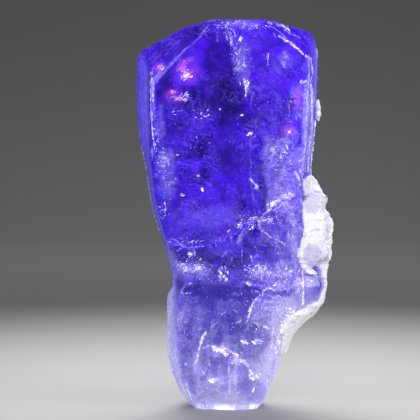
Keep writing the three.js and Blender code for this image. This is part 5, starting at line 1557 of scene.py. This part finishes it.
def fleck_material():
    """Sparks of crushed crystal, from dark pits over violet and lilac to white, with a faint painted glow;
    in the glint patches they take painted pink glints.
    """
    look = new_material("crystal_sparks", {"Emission Strength": FLECK_GLOW})
    shine = look.attribute("shine")
    faint = look.mix(look.remap(look.height(), *TURNS_PALE), FLECK_VIOLET, FLECK_GREY)
    look.base = look.mix(look.remap(shine, 0.25, 0.70), faint, LILAC)
    look.layer(FLECK_WHITE, look.remap(shine, 0.62, 0.95))
    look.layer(FLECK_PIT, look.remap(shine, -0.30, -0.05, 1.0, 0.0))
    # Painted pink glints, paler on the brightest flecks.
    pink_glint = look.mix(look.remap(shine, 0.7, 1.0), FLECK_GLINT_PINK, FLECK_GLINT_CORE)
    look.layer(pink_glint, look.remap(look.attribute("pink_glint"), 0.35, 0.65))
    look.feed("Base Color", look.base)
    # Painted glow: the flecks give off their own colour.
    look.feed("Emission Color", look.base)
    look.feed("Roughness", look.remap(shine, 0.3, 1.0, 0.6, 0.3))
    return look.material


def matrix_material():
    look = new_material("matrix_rock", {})
    height = look.height()
    grain = look.noise(4600.0, 4.0, 0.7, 0.6)
    look.base = look.mix(look.spots(0.42, 0.62, 620.0, 4.0), ROCK_WHITE, ROCK_SHADE)
    look.layer(ROCK_GREY, look.remap(height, *ROCK_TOP), 0.30)
    # Painted light: the matrix's foot, which faces down into shade, is laid lighter.
    look.layer(ROCK_LIT_FOOT, look.remap(height, *ROCK_FOOT), 0.85)
    veil = look.effect("healed_cracks", Scale=2200.0, Width=0.03, Winding=1.0)
    look.layer(ROCK_VEIL, veil, 0.30)
    look.layer(ROCK_TINT, look.attribute("tint"))
    look.layer(ROCK_PORE, look.remap(grain, 0.56, 0.66), 0.60)
    speck = look.effect("sparks", Scale=7000.0, Size=0.45, Spread=1400.0, Crowd=0.45)
    look.layer(ROCK_SPARK, speck, 0.6)
    look.feed("Base Color", look.base)
    look.feed("Roughness", look.remap(grain, 0.3, 0.7, 0.50, 0.9))
    look.bump(grain, *ROCK_BUMP)
    return look.material


# ---------------------------------------------------------------- set
# The paper's tone is a painted pool of light: bright round the specimen, falling off to dark further away.
PAPER_LIGHT_POOL = (0.010, 0.058)   # metres from the origin between which the paper turns from near tone to far


def stage_material(name, near, far):
    look = new_material(name, {"Roughness": 0.9})
    # Painted pool of light: the near tone round the origin fades into the far tone.
    away = look.node("VectorMath", {"operation": "LENGTH"}, {0: look.place}).outputs["Value"]
    look.feed("Base Color", look.mix(look.remap(away, *PAPER_LIGHT_POOL), near, far))
    return look.material


def make_stage():
    """Floor and backdrop in one sweep: level, then a quarter circle up, then upright."""
    radius, reach, width, tall = 0.06, 0.12, 0.5, 0.4
    arc = np.linspace(0, np.pi / 2, 24)
    depth = np.concatenate([[-0.5], reach + radius * np.sin(arc), [reach + radius]])
    height = np.concatenate([[0.0], radius - radius * np.cos(arc), [tall]])
    points = [(sx * width, y, z) for y, z in zip(depth, height) for sx in (-1, 1)]
    faces = [(2 * k, 2 * k + 1, 2 * k + 3, 2 * k + 2) for k in range(len(depth) - 1)]
    # The paper carries a painted pool of light round the specimen.
    paper = stage_material("studio_paper", colour(156, 156, 155), colour(60, 60, 61))
    sweep = new_object("studio_sweep", points, faces, [paper])


# Area lamps: name, place, width and height in metres, watts, and whether their shape shows in reflections.
LAMPS = [
    ("top_soft", (0.0, 0.11, 0.15), 0.15, 0.15, 0.50, False),
    ("left_soft", (-0.15, -0.10, 0.06), 0.12, 0.16, 0.17, True),
    ("right_soft", (0.15, -0.10, 0.06), 0.12, 0.16, 0.20, True),
    ("low_soft", (0.16, -0.04, 0.048), 0.07, 0.07, 0.06, True),
    ("front_soft", (0.0, -0.18, 0.11), 0.12, 0.12, 0.22, False),
    ("back_soft", (0.0, 0.10, 0.10), 0.07, 0.07, 0.12, False),
]
LAMP_AIM = Vector((0, 0, 0.012))
AIR_COLOUR, AIR_STRENGTH = (0.35, 0.35, 0.37, 1), 0.30
CAMERA_PIXEL = 0.06           # millimetres of the specimen's middle plane to one pixel of the picture
CAMERA_AIM = Vector((-1.5, 0.0, 11.78)) * MM
CAMERA_RISE = 4.0             # degrees above level
CAMERA_LENS, CAMERA_SENSOR = 180.0, 36.0  # millimetres
PICTURE = 420                 # pixels from side to side


def put_facing(name, data, place, target):
    """A lamp or camera at its place, turned towards its target."""
    thing = bpy.data.objects.new(name, data)
    thing.location = place
    thing.rotation_euler = (target - Vector(place)).to_track_quat("-Z", "Y").to_euler()
    bpy.context.scene.collection.objects.link(thing)
    return thing


def make_lights():
    for name, place, width, height, power, mirrored in LAMPS:
        lamp = bpy.data.lights.new(name, "AREA")
        lamp.energy, lamp.size = power, width
        if height != width:
            lamp.shape, lamp.size_y = "RECTANGLE", height
        put_facing(name, lamp, place, LAMP_AIM).visible_glossy = mirrored
    world = bpy.data.worlds.new("studio_air")
    bpy.context.scene.world = world
    world.use_nodes = True
    air = world.node_tree.nodes["Background"].inputs
    air[0].default_value, air[1].default_value = AIR_COLOUR, AIR_STRENGTH


def make_camera():
    distance = CAMERA_PIXEL * PICTURE * MM * CAMERA_LENS / CAMERA_SENSOR
    rise = math.radians(CAMERA_RISE)
    data = bpy.data.cameras.new("studio_camera")
    data.lens, data.sensor_width = CAMERA_LENS, CAMERA_SENSOR
    data.clip_start, data.clip_end = 0.001, 10
    place = CAMERA_AIM + Vector((0, -math.cos(rise), math.sin(rise))) * distance
    bpy.context.scene.camera = put_facing("studio_camera", data, place, CAMERA_AIM)


# ---------------------------------------------------------------- putting it together
make_camera()
make_lights()
make_stage()
bpy.context.scene.view_settings.view_transform = "Standard"

make_scratches()
make_cracks()
make_sparks()
rock = matrix_material()
crystal = crystal_piece([tanzanite_material(), frosted_material()])
crust_piece(vertex_values(crystal, "co")[:-2].reshape(-1, COLUMNS, 3) / MM, rock)
chip_piece(rock)
fleck_piece(crystal, fleck_material())
